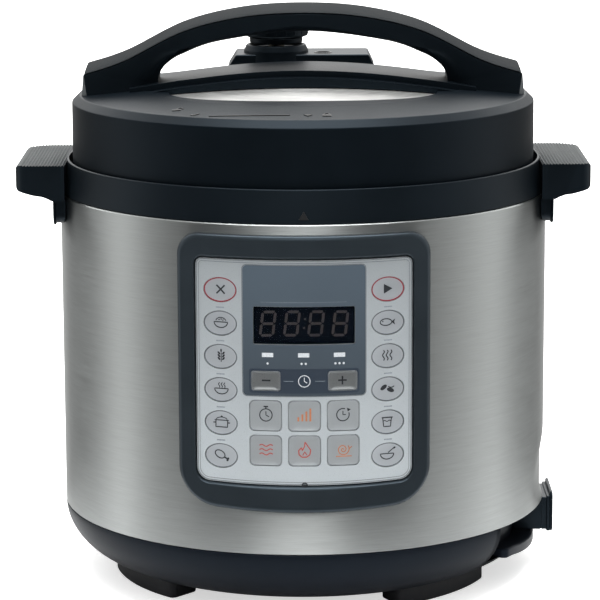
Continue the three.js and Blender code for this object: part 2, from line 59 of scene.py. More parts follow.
# Sizes that several pieces share, millimetres
WALL_R = 138.0
WALL_LOW, WALL_HIGH = 41.0, 220.3
RING_LOW, RING_HIGH, RING_HIGH_R = 220.9, 238.7, 134.2
REACH, HANDLE_HALF = 160.5, 43.0
FLOOR_R, FLOOR_Z = 89.7, 6.2
SHEET_R = 140.4
KEY_FACE, KEY_BACK = 139.9, 138.75
DISPLAY_Z, PLATE_Z, CLOCK_Z = 167.0, 164.1, 137.1
VALVE_X, VALVE_Y = -15.5, 60.0
FLOAT_X, FLOAT_Y = 12.0, 56.0
INLET_Z = 31.1
INLET_HALF_Y, INLET_HALF_Z = 16.8, 9.9
GRIP_HALF = 19.0
TOOTH_PITCH = 1.75
FEET = {"front_right": 48, "front_left": -62, "rear_left": -132, "rear_right": 118}  # degrees from the front


# ---------- camera ----------

def make_camera():
    data = bpy.data.cameras.new("camera")
    data.lens, data.sensor_width = 177.7, 36.0
    data.clip_start, data.clip_end = 0.05, 30.0
    camera = bpy.data.objects.new("camera", data)
    bpy.context.scene.collection.objects.link(camera)
    eye = AXIS + Vector((-2.1, -1672.4, 476.3)) * MM
    target = AXIS + Vector((-2.1, 0.0, 153.9)) * MM
    camera.rotation_mode = "QUATERNION"
    camera.location = eye
    aim = (target - eye).to_track_quat("-Z", "Y")
    camera.rotation_quaternion = aim @ Quaternion((0, 0, 1), math.radians(-0.24))
    bpy.context.scene.camera = camera


make_camera()


# ---------- outlines and solids ----------

def rounded(corners, steps=4):
    """A closed outline whose corners (x, y, radius) are replaced by arcs."""
    out = []
    count = len(corners)
    for i, corner in enumerate(corners):
        here = Vector(corner[:2])
        radius = corner[2] if len(corner) > 2 else 0
        if radius <= 0:
            out.append(tuple(here))
            continue
        before = Vector(corners[i - 1][:2]) - here
        after = Vector(corners[(i + 1) % count][:2]) - here
        reach = 0.49 * min(before.length, after.length)
        before.normalize()
        after.normalize()
        half = before.angle(after) / 2
        if half > math.pi / 2 - 0.02:
            out.append(tuple(here))
            continue
        along = min(radius / math.tan(half), reach)
        turn_radius = along * math.tan(half)
        centre = here + (before + after).normalized() * (turn_radius / math.sin(half))
        start, end = here + before * along - centre, here + after * along - centre
        sweep = start.angle_signed(end)
        for k in range(steps + 1):
            spoke = start.copy()
            spoke.rotate(Matrix.Rotation(-sweep * k / steps, 2))
            out.append(tuple(centre + spoke))
    return out


def spline(points, steps):
    """Catmull-Rom curve through 2-D points, with its ends held."""
    out = []
    last = len(points) - 1
    for k in range(steps + 1):
        place = last * k / steps
        i = min(int(place), last - 1)
        t = place - i
        p0, p1, p2, p3 = (Vector(points[min(max(j, 0), last)]) for j in (i - 1, i, i + 1, i + 2))
        v0, v1 = (p2 - p0) / 2, (p3 - p1) / 2
        out.append(tuple((2 * p1 - 2 * p2 + v0 + v1) * t ** 3 + (3 * p2 - 3 * p1 - 2 * v0 - v1) * t ** 2
                         + v0 * t + p1))
    return out


def box_outline(cx, cy, width, height, radius, steps=6):
    x0, x1, y0, y1 = cx - width / 2, cx + width / 2, cy - height / 2, cy + height / 2
    return rounded([(x, y, radius) for x, y in ((x0, y0), (x1, y0), (x1, y1), (x0, y1))], steps)


def on_circle(count, radius=1.0):
    """Points spread evenly round a circle."""
    return [(radius * math.cos(2 * math.pi * k / count), radius * math.sin(2 * math.pi * k / count))
            for k in range(count)]


def lathe(profile, segments=160, x=0.0, y=0.0):
    """A closed (radius, height) profile turned about the vertical through (x, y)."""
    verts, faces, rings = [], [], []
    for r, z in profile:
        if r < 1e-6:
            rings.append([len(verts)])
            verts.append((x, y, z))
            continue
        rings.append(list(range(len(verts), len(verts) + segments)))
        for k in range(segments):
            a = 2 * math.pi * k / segments
            verts.append((x + r * math.sin(a), y - r * math.cos(a), z))
    for a, b in zip(rings, rings[1:] + rings[:1]):
        if len(a) == 1 and len(b) == 1:
            continue
        for k in range(segments):
            n = (k + 1) % segments
            face = [a[k % len(a)], a[n % len(a)], b[n % len(b)], b[k % len(b)]]
            faces.append(tuple(dict.fromkeys(face)))
    return verts, faces


def spun(corners, segments=160, x=0.0, y=0.0, steps=4):
    """A profile with rounded corners turned about a vertical."""
    return lathe(rounded(corners, steps), segments, x, y)


def prism(outline, low, high, axis="z"):
    """A closed outline carried from low to high along an axis."""
    order = {"z": (0, 1, 2), "y": (0, 2, 1), "x": (2, 0, 1)}[axis]

    def place(*uvw):
        return tuple(uvw[k] for k in order)

    n = len(outline)
    verts = [place(u, v, low) for u, v in outline] + [place(u, v, high) for u, v in outline]
    faces = [tuple(range(n)), tuple(range(2 * n - 1, n - 1, -1))]
    faces += [(k, (k + 1) % n, n + (k + 1) % n, n + k) for k in range(n)]
    return verts, faces


def block(x0, x1, y0, y1, z0, z1):
    return prism([(x0, y0), (x1, y0), (x1, y1), (x0, y1)], z0, z1)


def loft(sections, closed=False):
    """Skins a list of sections with the same number of points each; the ends are capped unless closed."""
    n, m = len(sections[0]), len(sections)
    verts = [p for section in sections for p in section]
    faces = []
    for i in range(m if closed else m - 1):
        a, b = i * n, ((i + 1) % m) * n
        faces += [(a + k, a + (k + 1) % n, b + (k + 1) % n, b + k) for k in range(n)]
    if not closed:
        faces += [tuple(range(n)), tuple(range(m * n - 1, (m - 1) * n - 1, -1))]
    return verts, faces


def tube(path, radius, sides=10, closed=False):
    """A round wire along a path of 3-D points."""
    points = [Vector(p) for p in path]
    count = len(points)
    sections = []
    side = None
    for i, p in enumerate(points):
        before = points[(i - 1) % count] if closed or i else points[0]
        after = points[(i + 1) % count] if closed or i < count - 1 else points[-1]
        ahead = (after - before).normalized()
        if side is None:
            side = ahead.orthogonal()
        side = (side - ahead * side.dot(ahead)).normalized()
        up = ahead.cross(side)
        around = [2 * math.pi * k / sides for k in range(sides)]
        sections.append([tuple(p + (side * math.cos(a) + up * math.sin(a)) * radius) for a in around])
    return loft(sections, closed)


def sector(inner, outer, centre, width, steps=24, corner=0.0):
    """A plan sector between two radii, its middle at an angle measured from the front towards +X."""
    a0, a1 = math.radians(centre - width / 2), math.radians(centre + width / 2)
    sweep = [a0 + (a1 - a0) * k / steps for k in range(steps + 1)]
    points = [(outer * math.sin(a), -outer * math.cos(a)) for a in sweep]
    points += [(inner * math.sin(a), -inner * math.cos(a)) for a in reversed(sweep)]
    if corner:
        ends = {0, steps, steps + 1, 2 * steps + 1}
        skip = {1, steps - 1, steps + 2, 2 * steps}
        points = rounded([(*p, corner if i in ends else 0) for i, p in enumerate(points) if i not in skip], 5)
    return points


def moved(part, move):
    return [move(*v) for v in part[0]], part[1]


def turned_about(part, degrees):
    """Turns a part round the pot's axis, so that its front comes to that angle from the front."""
    c, s = math.cos(math.radians(degrees)), math.sin(math.radians(degrees))
    return moved(part, lambda x, y, z: (x * c - y * s, x * s + y * c, z))


def joined(*parts):
    verts, faces = [], []
    for v, f in parts:
        shift = len(verts)
        verts += v
        faces += [tuple(i + shift for i in face) for face in f]
    return verts, faces


def raw_mesh(part, name="scratch"):
    mesh = bpy.data.meshes.new(name)
    mesh.from_pydata([tuple(c * MM for c in v) for v in part[0]], [], part[1])
    bm = bmesh.new()
    bm.from_mesh(mesh)
    bmesh.ops.recalc_face_normals(bm, faces=bm.faces)
    bm.to_mesh(mesh)
    bm.free()
    return mesh


def worked(part, *modifiers):
    """The part after modifiers, each (type, settings), as a part again."""
    thing = bpy.data.objects.new("scratch", raw_mesh(part))
    bpy.context.scene.collection.objects.link(thing)
    for kind, settings in modifiers:
        modifier = thing.modifiers.new(kind.lower(), kind)
        for key, value in settings.items():
            setattr(modifier, key, value)
    bpy.context.view_layer.update()
    done = thing.evaluated_get(bpy.context.evaluated_depsgraph_get())
    made = bpy.data.meshes.new_from_object(done)
    verts = [tuple(c / MM for c in v.co) for v in made.vertices]
    result = verts, [tuple(p.vertices) for p in made.polygons]
    bpy.data.objects.remove(thing)
    bpy.data.meshes.remove(made)
    return result


def carve(part, *cutters, how="DIFFERENCE"):
    """Cuts the cutters from a part, one after another."""
    for cutter in cutters:
        tool = bpy.data.objects.new("scratch_tool", raw_mesh(cutter))
        bpy.context.scene.collection.objects.link(tool)
        part = worked(part, ("BOOLEAN", {"object": tool, "operation": how, "solver": "EXACT"}))
        bpy.data.objects.remove(tool)
    return part


def soft(part, width, segments=3, angle=30):
    """The part with its sharp edges rounded."""
    return worked(part, ("BEVEL", {"width": width * MM, "segments": segments, "limit_method": "ANGLE",
                                   "angle_limit": math.radians(angle), "use_clamp_overlap": True}))


def piece(name, body, parts, materials, stands_for=(), smooth=32):
    """One visible piece. parts is a list of (part, material number)."""
    verts, faces, kinds = [], [], []
    for part, kind in parts:
        shift = len(verts)
        verts += part[0]
        faces += [tuple(i + shift for i in face) for face in part[1]]
        kinds += [kind] * len(part[1])
    mesh = raw_mesh((verts, faces), name)
    for material in materials:
        mesh.materials.append(material)
    for polygon, kind in zip(mesh.polygons, kinds):
        polygon.material_index = kind
    mesh.shade_smooth()
    mesh.set_sharp_from_angle(angle=math.radians(smooth))
    thing = bpy.data.objects.new(name, mesh)
    bpy.context.scene.collection.objects.link(thing)
    thing.location = AXIS
    even = thing.modifiers.new("even_normals", "WEIGHTED_NORMAL")
    even.keep_sharp = True
    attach(thing, body)
    for node in stands_for:
        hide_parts(node)
    return thing
# ---------- materials ----------

class Nodes:
    """Short calls for one node tree, a material's unless a tree is given."""

    def __init__(self, name, tree=None):
        self.tree = tree
        if tree is None:
            self.material = bpy.data.materials.new(name)
            self.material.use_nodes = True
            self.tree = self.material.node_tree
            self.shader = self.tree.nodes["Principled BSDF"]
            self.where = self.add("TexCoord").outputs["Object"]

    def add(self, kind, **settings):
        node = self.tree.nodes.new("ShaderNode" + kind)
        for key, value in settings.items():
            setattr(node, key, value)
        return node

    def link(self, source, target):
        self.tree.links.new(source, target)

    def apart(self, vector):
        node = self.add("SeparateXYZ")
        self.link(vector, node.inputs[0])
        return node.outputs

    def math(self, how, a, b=None):
        node = self.add("Math", operation=how)
        for socket, value in zip(node.inputs, (a, b)):
            if isinstance(value, (int, float)):
                socket.default_value = value
            elif value is not None:
                self.link(value, socket)
        return node.outputs[0]

    def mixed(self, a, b, share):
        """Two values added, the first with a share and the second with the rest."""
        return self.math("ADD", self.math("MULTIPLY", a, share), self.math("MULTIPLY", b, 1 - share))

    def noise(self, scale, detail=3.0, rough=0.5, where=None):
        node = self.add("TexNoise")
        node.inputs["Scale"].default_value = scale
        node.inputs["Detail"].default_value = detail
        node.inputs["Roughness"].default_value = rough
        self.link(where or self.where, node.inputs["Vector"])
        return node.outputs["Fac"]

    def spread(self, value, low, high, from_low=0.3, from_high=0.7):
        node = self.add("MapRange")
        self.link(value, node.inputs["Value"])
        ends = {"From Min": from_low, "From Max": from_high, "To Min": low, "To Max": high}
        for key, number in ends.items():
            node.inputs[key].default_value = number
        return node.outputs["Result"]

    def blend(self, factor, a, b):
        node = self.add("Mix", data_type="RGBA")
        self.link(factor, node.inputs["Factor"])
        for socket, value in ((node.inputs[6], a), (node.inputs[7], b)):
            if isinstance(value, tuple):
                socket.default_value = (*value, 1.0)
            else:
                self.link(value, socket)
        return node.outputs[2]

    def shades(self, value, colour, low, high):
        """The colour, darkened or lightened by a wandering value."""
        return self.blend(self.spread(value, 0.0, 1.0), tint(colour, low), tint(colour, high))

    def paint(self, source):
        self.link(source, self.shader.inputs["Base Color"])

    def gloss(self, value, rough, low, high):
        self.link(self.spread(value, rough * low, rough * high), self.shader.inputs["Roughness"])

    def relief(self, height, distance):
        node = self.add("Bump")
        node.inputs["Distance"].default_value = distance
        self.link(height, node.inputs["Height"])
        self.link(node.outputs["Normal"], self.shader.inputs["Normal"])

    def set(self, **values):
        for key, value in values.items():
            self.shader.inputs[key.replace("_", " ")].default_value = value


def tint(colour, factor):
    return tuple(min(c * factor, 1.0) for c in colour)


def plastic(name, colour, rough, grain=2600.0, depth=0.00003, level=0.5, sheen=(1.0, 1.0, 1.0)):
    """Moulded plastic: a spark-eroded grain, faint flow marks and a painted highlight that lightens outer
    edges.
    """
    n = Nodes(name)
    cloud = n.noise(28.0, 4.0, 0.6)
    fine = n.noise(grain, 2.0, 0.6)
    # Painted highlight: sharp outer edges, found by pointiness, are painted up to 1.35 times lighter.
    painted_edge_highlight = n.spread(n.add("NewGeometry").outputs["Pointiness"], 0.0, 1.0, 0.53, 0.62)
    n.paint(n.blend(painted_edge_highlight, n.shades(cloud, colour, 0.88, 1.12), tint(colour, 1.35)))
    n.gloss(n.mixed(cloud, fine, 0.5), rough, 0.9, 1.1)
    n.relief(fine, depth)
    n.set(Specular_IOR_Level=level, Specular_Tint=(*sheen, 1.0))
    return n.material


def spun_steel(name, colour, rough, along=9.0, across=2600.0, turn=0.75, depth=0.000012):
    """Steel brushed round the vertical axis: long fine scratches, with streaks that catch the light."""
    n = Nodes(name)
    x, y, z = n.apart(n.where)
    angle = n.math("ARCTAN2", x, n.math("MULTIPLY", y, -1.0))
    squares = n.math("ADD", n.math("MULTIPLY", x, x), n.math("MULTIPLY", y, y))
    height = n.math("ADD", n.math("SQRT", squares), z)

    def streaks(length, pitch, detail):
        place = n.add("CombineXYZ")
        n.link(n.math("MULTIPLY", angle, length), place.inputs[0])
        n.link(n.math("MULTIPLY", height, pitch), place.inputs[1])
        return n.noise(1.0, detail, 0.65, place.outputs[0])

    hair = streaks(along, across, 3.0)
    mix = n.mixed(hair, streaks(along * 0.35, across * 0.18, 2.0), 0.6)
    n.paint(n.shades(mix, colour, 0.86, 1.12))
    n.gloss(mix, rough, 0.82, 1.2)
    n.relief(hair, depth)
    n.link(n.add("Tangent", direction_type="RADIAL", axis="Z").outputs[0], n.shader.inputs["Tangent"])
    n.set(Metallic=1.0, Anisotropic=turn, Anisotropic_Rotation=0.25)
    return n.material


def cast_metal(name, colour, rough, grain, depth):
    """Bright or satin metal with a fine irregular surface and handling marks."""
    n = Nodes(name)
    fine = n.noise(grain, 4.0, 0.6)
    marks = n.noise(60.0, 5.0, 0.7)
    n.paint(n.shades(marks, colour, 0.88, 1.08))
    n.gloss(n.mixed(fine, marks, 0.5), rough, 0.8, 1.25)
    n.relief(fine, depth)
    n.set(Metallic=1.0)
    return n.material


def satin_film(name, colour, rough, metal=0.0, coat=0.25, painted_light_by_height=None):
    """Printed panel film: a fine pearl speckle under a satin skin.

    The last argument, if given, is (low, high, factor at low, factor at high), heights in millimetres:
    painted light that makes the film lighter or darker with height, standing in for its reflection.
    """
    n = Nodes(name)
    speckle = n.noise(3200.0, 2.0, 0.7)
    shade = n.mixed(speckle, n.noise(22.0, 2.0, 0.5), 0.6)
    paint = n.shades(shade, colour, 0.93, 1.06)
    # Painted reflection: the colour is scaled from one factor to the other between the two heights.
    if painted_light_by_height:
        low, high, *factors = painted_light_by_height
        height = n.spread(n.apart(n.where)[2], 0.0, 1.0, low * MM, high * MM)
        paint = n.blend(height, *(n.shades(shade, colour, 0.93 * f, 1.06 * f) for f in factors))
    n.paint(paint)
    n.gloss(speckle, rough, 0.9, 1.12)
    n.relief(speckle, 0.000006)
    n.set(Metallic=metal, Coat_Weight=coat, Coat_Roughness=0.3)
    return n.material


def ink(name, colour, rough=0.55):
    """Screen-printed ink, slightly uneven in density."""
    n = Nodes(name)
    patch = n.noise(1500.0, 3.0, 0.6)
    n.paint(n.shades(patch, colour, 0.85, 1.2))
    n.gloss(patch, rough, 0.85, 1.15)
    return n.material


def smoked(name, colour, alpha, rough, level=0.5):
    """Tinted window or clear plastic, with a faint haze."""
    n = Nodes(name)
    haze = n.noise(90.0, 4.0, 0.6)
    n.paint(n.shades(haze, colour, 0.9, 1.1))
    n.gloss(haze, rough, 0.8, 1.4)
    n.link(n.spread(haze, alpha * 0.96, alpha * 1.04), n.shader.inputs["Alpha"])
    n.set(IOR=1.49, Specular_IOR_Level=level)
    return n.material


def circuit_board(name):
    """Green solder mask with copper tracks showing through and pale silk specks."""
    n = Nodes(name)
    tracks = n.add("TexBrick", offset=0.35, squash=1.0)
    n.link(n.where, tracks.inputs["Vector"])
    tracks.inputs["Scale"].default_value = 160.0
    tracks.inputs["Mortar Size"].default_value = 0.035
    colours = {"Color1": (0.012, 0.075, 0.03), "Color2": (0.018, 0.1, 0.04), "Mortar": (0.05, 0.2, 0.07)}
    for key, colour in colours.items():
        tracks.inputs[key].default_value = (*colour, 1)
    cloud = n.noise(900.0, 3.0, 0.6)
    specks = n.spread(cloud, 0.0, 0.35, 0.4, 0.8)
    n.paint(n.blend(specks, tracks.outputs["Color"], (0.03, 0.16, 0.06)))
    n.gloss(cloud, 1.0, 0.25, 0.45)
    n.relief(tracks.outputs["Fac"], 0.00003)
    return n.material


def rubbery(name, colour, rough, see_through=0.0):
    """Moulded rubber or silicone with a dusty bloom."""
    n = Nodes(name)
    bloom = n.noise(55.0, 5.0, 0.65)
    n.paint(n.shades(bloom, colour, 0.85, 1.15))
    n.gloss(bloom, rough, 0.88, 1.12)
    n.relief(n.noise(2200.0, 2.0, 0.5), 0.00002)
    if see_through:
        n.set(Subsurface_Weight=see_through, Subsurface_Scale=0.003)
    return n.material


COOL = (0.62, 0.82, 1.0)
STEEL = spun_steel("brushed_steel", (0.525, 0.55, 0.548), 0.43, turn=0.95, depth=0.000008)
PAN_STEEL = spun_steel("bright_spun_steel", (0.84, 0.84, 0.82), 0.40, along=5.0, across=1500.0, turn=0.25,
                       depth=0.000002)
LINER_STEEL = spun_steel("spun_liner", (0.56, 0.56, 0.55), 0.38, across=1400.0, turn=0.4)
PRESSED = cast_metal("pressed_steel", (0.52, 0.52, 0.51), 0.36, 500.0, 0.00003)
ALLOY = cast_metal("heater_alloy", (0.60, 0.61, 0.62), 0.42, 1200.0, 0.00006)
NICKEL = cast_metal("nickel_pins", (0.66, 0.62, 0.52), 0.28, 700.0, 0.00002)
BLACK = plastic("black_plastic", (0.0034, 0.0054, 0.0075), 0.38, level=0.22, sheen=COOL)
LID_BLACK = plastic("lid_plastic", (0.0026, 0.0046, 0.0068), 0.42, 2200.0, level=0.16, sheen=COOL)
BASE_BLACK = plastic("base_plastic", (0.0055, 0.0072, 0.0110), 0.42, 3200.0, 0.00002, level=0.12, sheen=COOL)
BEZEL_GREY = plastic("bezel_plastic", (0.0170, 0.0215, 0.0255), 0.30, 3000.0, 0.00002, level=0.4, sheen=COOL)
CAP_GREY = plastic("handle_cap_plastic", (0.0050, 0.0068, 0.0082), 0.6, 3000.0, level=0.04, sheen=COOL)
# Painted reflection: a lighter grey copy of the black plastic for the top faces of the side handles, for the
# bright sky they reflect.
WING_TOP_SHEEN = plastic("handle_top_painted_sheen", (0.022, 0.027, 0.029), 0.5, 2400.0, 0.00004, level=0.22)
# Painted highlight: light grey strips on the arch's ends, standing for the light their edges catch.
ARCH_END_HIGHLIGHT = plastic("arch_end_painted_highlight", (0.10, 0.11, 0.115), 0.42, 2400.0, 0.00003)
MARK_BLACK = plastic("raised_marks", (0.0030, 0.0036, 0.0044), 0.34, 3000.0, 0.00001)
# The panel film and the oval keys are painted lighter towards the bottom and the plate lighter towards the
# top: painted reflection.
SHEET = satin_film("panel_film", (0.45, 0.49, 0.515), 0.30, 0.30, painted_light_by_height=(78, 202, 1.22, 0.78))
PLATE = satin_film("plate_film", (0.062, 0.086, 0.112), 0.34, 0.1, painted_light_by_height=(128, 200, 0.72, 1.15))
PLATE_DARK = satin_film("plate_film_dark", (0.026, 0.040, 0.062), 0.36, 0.1)
KEY_WHITE = satin_film("key_film", (0.43, 0.46, 0.49), 0.32, 0.40, 0.3, painted_light_by_height=(88, 192, 1.1, 0.9))
KEY_PALE = satin_film("square_key_film", (0.42, 0.45, 0.47), 0.32, 0.45, 0.3)
KEY_SILVER = satin_film("key_metallised", (0.36, 0.38, 0.39), 0.30, 0.75, 0.4)
# The grey and pale rim colours paint a shade line round the oval and square keys, standing for the shadow at
# their edges; the grey one also prints the lines along the sheet's edges. The red rim is a printed ring.
EDGE_INK_AND_SHADE = ink("edge_ink_and_painted_shade", (0.12, 0.135, 0.15))
SQUARE_RIM_SHADE = ink("square_rim_painted_shade", (0.23, 0.25, 0.27))
EDGE_RED = ink("edge_ink_red", (0.24, 0.022, 0.035))
DARK_INK = ink("dark_ink", (0.018, 0.022, 0.028))
RED_INK = ink("red_ink", (0.38, 0.055, 0.04))
ORANGE_INK = ink("orange_ink", (0.42, 0.15, 0.06))
PALE_INK = ink("pale_ink", (0.50, 0.53, 0.56))
DASH_INK = ink("dash_ink", (0.24, 0.27, 0.30))
LINE_INK = ink("line_ink", (0.13, 0.16, 0.19))
WINDOW = smoked("display_glass", (0.003, 0.006, 0.012), 0.30, 0.10, level=0.18)
CLEAR = smoked("clear_plastic", (0.50, 0.58, 0.62), 0.14, 0.10)
SEGMENT = ink("unlit_segment", (0.155, 0.125, 0.11), 0.5)
DISPLAY_BODY = plastic("display_body", (0.002, 0.0035, 0.006), 0.55, level=0.12)
FOOT = rubbery("foot_rubber", (0.010, 0.011, 0.014), 0.78)
SILICONE = rubbery("silicone", (0.60, 0.61, 0.60), 0.55, 0.25)
BOARD = circuit_board("circuit_board")


# ---------- housing ----------

def bowl_radius(z):
    """Outer radius of the base at a height."""
    down = (WALL_LOW - 0.3 - z) / (WALL_LOW - 0.3 - FLOOR_Z)
    return FLOOR_R + (WALL_R - FLOOR_R) * math.sqrt(max(0.0, 1 - down * down))


def bowl_height(r):
    out = min(max((r - FLOOR_R) / (WALL_R - FLOOR_R), 0.0), 1.0)
    return WALL_LOW - 0.3 - (WALL_LOW - 0.3 - FLOOR_Z) * math.sqrt(1 - out * out)


def inlet_relief(x, y, z):
    """How far the wall is pressed in round the inlet."""
    turn = math.degrees(math.atan2(y, x)) / 24.0
    up = (z - 54.0) / (30.0 if z > 54.0 else 14.0)
    away = math.hypot(turn, up)
    if away >= 1:
        return 0.0
    edge = min(1.0, (1 - away) / 0.5)
    return 1.8 * edge * edge * (3 - 2 * edge)


def make_wall():
    heights = [WALL_LOW + (WALL_HIGH - WALL_LOW) * k / 100 for k in range(101)]
    inner = [(WALL_R - 1.2, z) for z in reversed(heights)]
    profile = [(WALL_R - 0.4, WALL_LOW), (WALL_R, WALL_LOW + 0.4)] + [(WALL_R, z) for z in heights[1:-1]]
    profile += [(WALL_R, WALL_HIGH - 0.4), (WALL_R - 0.4, WALL_HIGH)] + inner
    verts, faces = lathe(profile, 288)
    pressed = []
    for x, y, z in verts:
        r = math.hypot(x, y)
        scale = (r - inlet_relief(x, y, z)) / r
        pressed.append((x * scale, y * scale, z))
    wall = carve((pressed, faces), block(-30, 30, -200, -100, 148, 186),
                 block(100, 200, -INLET_HALF_Y, INLET_HALF_Y, 0, INLET_Z + INLET_HALF_Z))
    piece("steel_wall", "housing", [(wall, 0)], [STEEL], ["housing_shell"], 20)


def wing_profile():
    """Front view of a side handle, with the grip's teeth along its top."""
    line = [(133.0, 219.0)]
    x = line[0][0]
    while x < REACH - 4.4:
        line += [(x, RING_HIGH - 0.45), (x + 0.35, RING_HIGH - 0.35), (x + 0.88, RING_HIGH + 0.15),
                 (x + 1.05, RING_HIGH + 0.15), (x + 1.55, RING_HIGH - 0.35)]
        x += TOOTH_PITCH
    line.append((REACH - 2.6, RING_HIGH - 0.1))
    line += [(REACH - 2.6 + 2.6 * math.sin(a), RING_HIGH - 2.7 + 2.6 * math.cos(a))
             for a in (0.25, 0.55, 0.85, 1.15, 1.4)]
    line += [(REACH, 235.5), (REACH, 227.0)]
    line += [(REACH - 3.0 + 3.0 * math.cos(a), 227.0 - 3.2 * math.sin(a)) for a in (0.3, 0.7, 1.1, 1.4)]
    return line + [(REACH - 3.4, 223.6), (150.0, 221.7), (145.6, 221.1), (142.6, 220.0), (140.6, 218.9),
                   (139.4, 218.6), (134.0, 218.6)]


def make_wing(side):
    """Side handle, side 1 on the right and -1 on the left."""
    front = prism([(side * x, z) for x, z in wing_profile()], -HANDLE_HALF - 4, HANDLE_HALF + 4, "y")
    inner = 133.3
    end = math.asin(HANDLE_HALF / inner)
    bend = [end * (1 - 2 * k / 24) for k in range(25)]
    plan = [(REACH, -HANDLE_HALF, 7.0), (REACH, HANDLE_HALF, 24.0)]
    plan += [(inner * math.cos(a), inner * math.sin(a)) for a in bend]
    plan = rounded([(side * p[0], *p[1:]) for p in plan], 14)
    wing = carve(front, prism(plan, 200, 260), how="INTERSECT")
    return carve(wing, drum(RING_LOW))


def drum(top):
    """The steel wall's room, up to a height."""
    return lathe([(0, 190), (138.3, 190), (138.3, top), (0, top)], 192)


def make_rim_ring():
    wall = spun([
        (137.0, RING_LOW, 0.3), (RING_HIGH_R + 0.1, RING_HIGH, 0.9), (132.9, RING_HIGH, 0.4),
        (131.3, 217.0, 0.8), (122.0, 217.0, 0.4), (122.0, 214.5, 0.4), (136.3, 214.5, 0.3),
        (136.3, RING_LOW)], 288)
    spout = carve(soft(block(-6, 6, 133.6, 152, 222.5, 228), 0.8), block(-4.2, 4.2, 134, 153, 224.5, 240))
    mark = ring_mark([(-2.6, 223.0), (2.6, 223.0), (0.0, 227.4)])
    parts = [(wall, 0), (make_wing(1), 0), (make_wing(-1), 0), (spout, 0), (mark, 2)]
    ring = piece("upper_ring", "housing", parts, [BLACK, WING_TOP_SHEEN, MARK_BLACK], ["rim_ring"],
                 28)
    # The top faces of the side handles take the lighter grey: a painted reflection of the sky.
    for polygon in ring.data.polygons:
        out = math.hypot(*polygon.center[:2])
        if polygon.center.z > (RING_HIGH - 0.7) * MM and out > 134.6 * MM:
            polygon.material_index = 1


def ring_mark(outline):
    """A raised mark on the front of the ring, seen as an outline (x, z) about its middle."""
    def place(x, out, z):
        r = 137.0 - (z - RING_LOW) * (137.0 - RING_HIGH_R) / (RING_HIGH - RING_LOW) + out
        return (x, -math.sqrt(r * r - x * x), z)
    return moved(prism(outline, -0.4, 0.45, "y"), place)


def make_braces():
    def slab(half, low, corner, near, far):
        edge = [(-half, 218.6, 0.5), (-half, low, corner), (half, low, corner), (half, 218.6, 0.5)]
        return prism(rounded(edge, 8), *sorted((side * near, side * far)), "x")

    for side, name in ((1, "right"), (-1, "left")):
        plate = slab(40, 204, 8.0, 138.5, 139.8)
        prong = carve(slab(39.2, 205.0, 7.0, 124.0, 138.6), drum(230))
        piece(f"{name}_brace", "housing", [(soft(plate, 0.5), 0), (soft(prong, 0.5), 0)], [BLACK],
              [f"{name}_handle_brace"])


def shelf_shape(x, y, z):
    """Thins the shelf under the inlet from below and lifts its two ends."""
    end = min(1.0, abs(math.degrees(math.atan2(y, x))) / 28.0) ** 2
    low, high = 14.5 + 4.5 * end, 20.7 + 4.0 * end
    return x, y, low + (high - low) * (z - 10.5) / 9.2


def make_base():
    steps = 30
    rise = WALL_LOW - 0.3 - FLOOR_Z
    heights = [FLOOR_Z + rise * (1 - math.cos(math.pi / 2 * k / steps)) for k in range(1, steps)]
    outer = [(FLOOR_R, FLOOR_Z)] + [(bowl_radius(z), z) for z in heights]
    outer += [(WALL_R - 0.1, WALL_LOW - 0.7), (WALL_R - 0.4, WALL_LOW - 0.35)]
    slope = [math.asin(min(1, (r - FLOOR_R) / (WALL_R - FLOOR_R))) for r, z in outer]
    inner = [(r - 2.6 if r > FLOOR_R else r, z + 2.6 * math.cos(a))
             for (r, z), a in reversed(list(zip(outer, slope))[:-2])]
    inner = [(WALL_R - 2.7, WALL_LOW - 0.35)] + [(r, z) for r, z in inner if z < WALL_LOW - 1.0]
    bowl = lathe([(0, FLOOR_Z)] + outer + inner + [(0, FLOOR_Z + 2.6)], 224)
    vents = [prism(box_outline(x, -57.5, 5, 25, 2.4), 0, 12) for x in (-40, -20, 0, 20, 40)]
    inlet = block(100, 200, -INLET_HALF_Y, INLET_HALF_Y, INLET_Z - INLET_HALF_Z, INLET_Z + INLET_HALF_Z)
    bowl = carve(bowl, joined(*vents), inlet)
    recess = prism(sector(121, 200, 90, 76, 40), 19.7, 100)
    envelope = lathe([(0, FLOOR_Z)] + outer + [(0, WALL_LOW - 0.35)], 224)
    wall = prism(sector(116, WALL_R, 90, 79, 40), 10.5, WALL_LOW - 0.35)
    wall = carve(wall, envelope, how="INTERSECT")
    wall = carve(wall, recess, inlet)
    bowl = carve(bowl, recess)
    shelf = moved(soft(prism(sector(112, 133, 90, 64, 40, 6.0), 10.5, 19.7), 1.6, 3, 50), shelf_shape)
    posts = [(spun([(0, 8), (3.5, 8), (3.5, 23.7, 0.5), (0, 23.7)], 24, x, y), 0)
             for x in (-46, 36) for y in (20, 66)]
    parts = [(bowl, 0), (wall, 0), (shelf, 0)] + posts
    piece("base_bowl", "housing", parts, [BASE_BLACK], ["base"])


def make_feet():
    def against_bowl(x, y, z):
        return x, y, z if z < 4 else bowl_height(math.hypot(x, y)) + 0.8 + (z - 8) * 0.1

    for name, middle in FEET.items():
        pad = soft(prism(sector(90, 110, middle, 40, 22, 8.0), 0, 8), 1.2, 3, 50)
        pad = moved(pad, against_bowl)
        piece(f"foot_{name}_pad", "housing", [(pad, 0)], [FOOT], [f"foot_{name}"])


def bayonet_lugs(inner, outer, corner, low):
    lugs = [prism(sector(inner, outer, 90 + i * 60, 20, 10, corner), low, low + 2.6) for i in range(6)]
    return [(soft(lug, 0.4), 0) for lug in lugs]


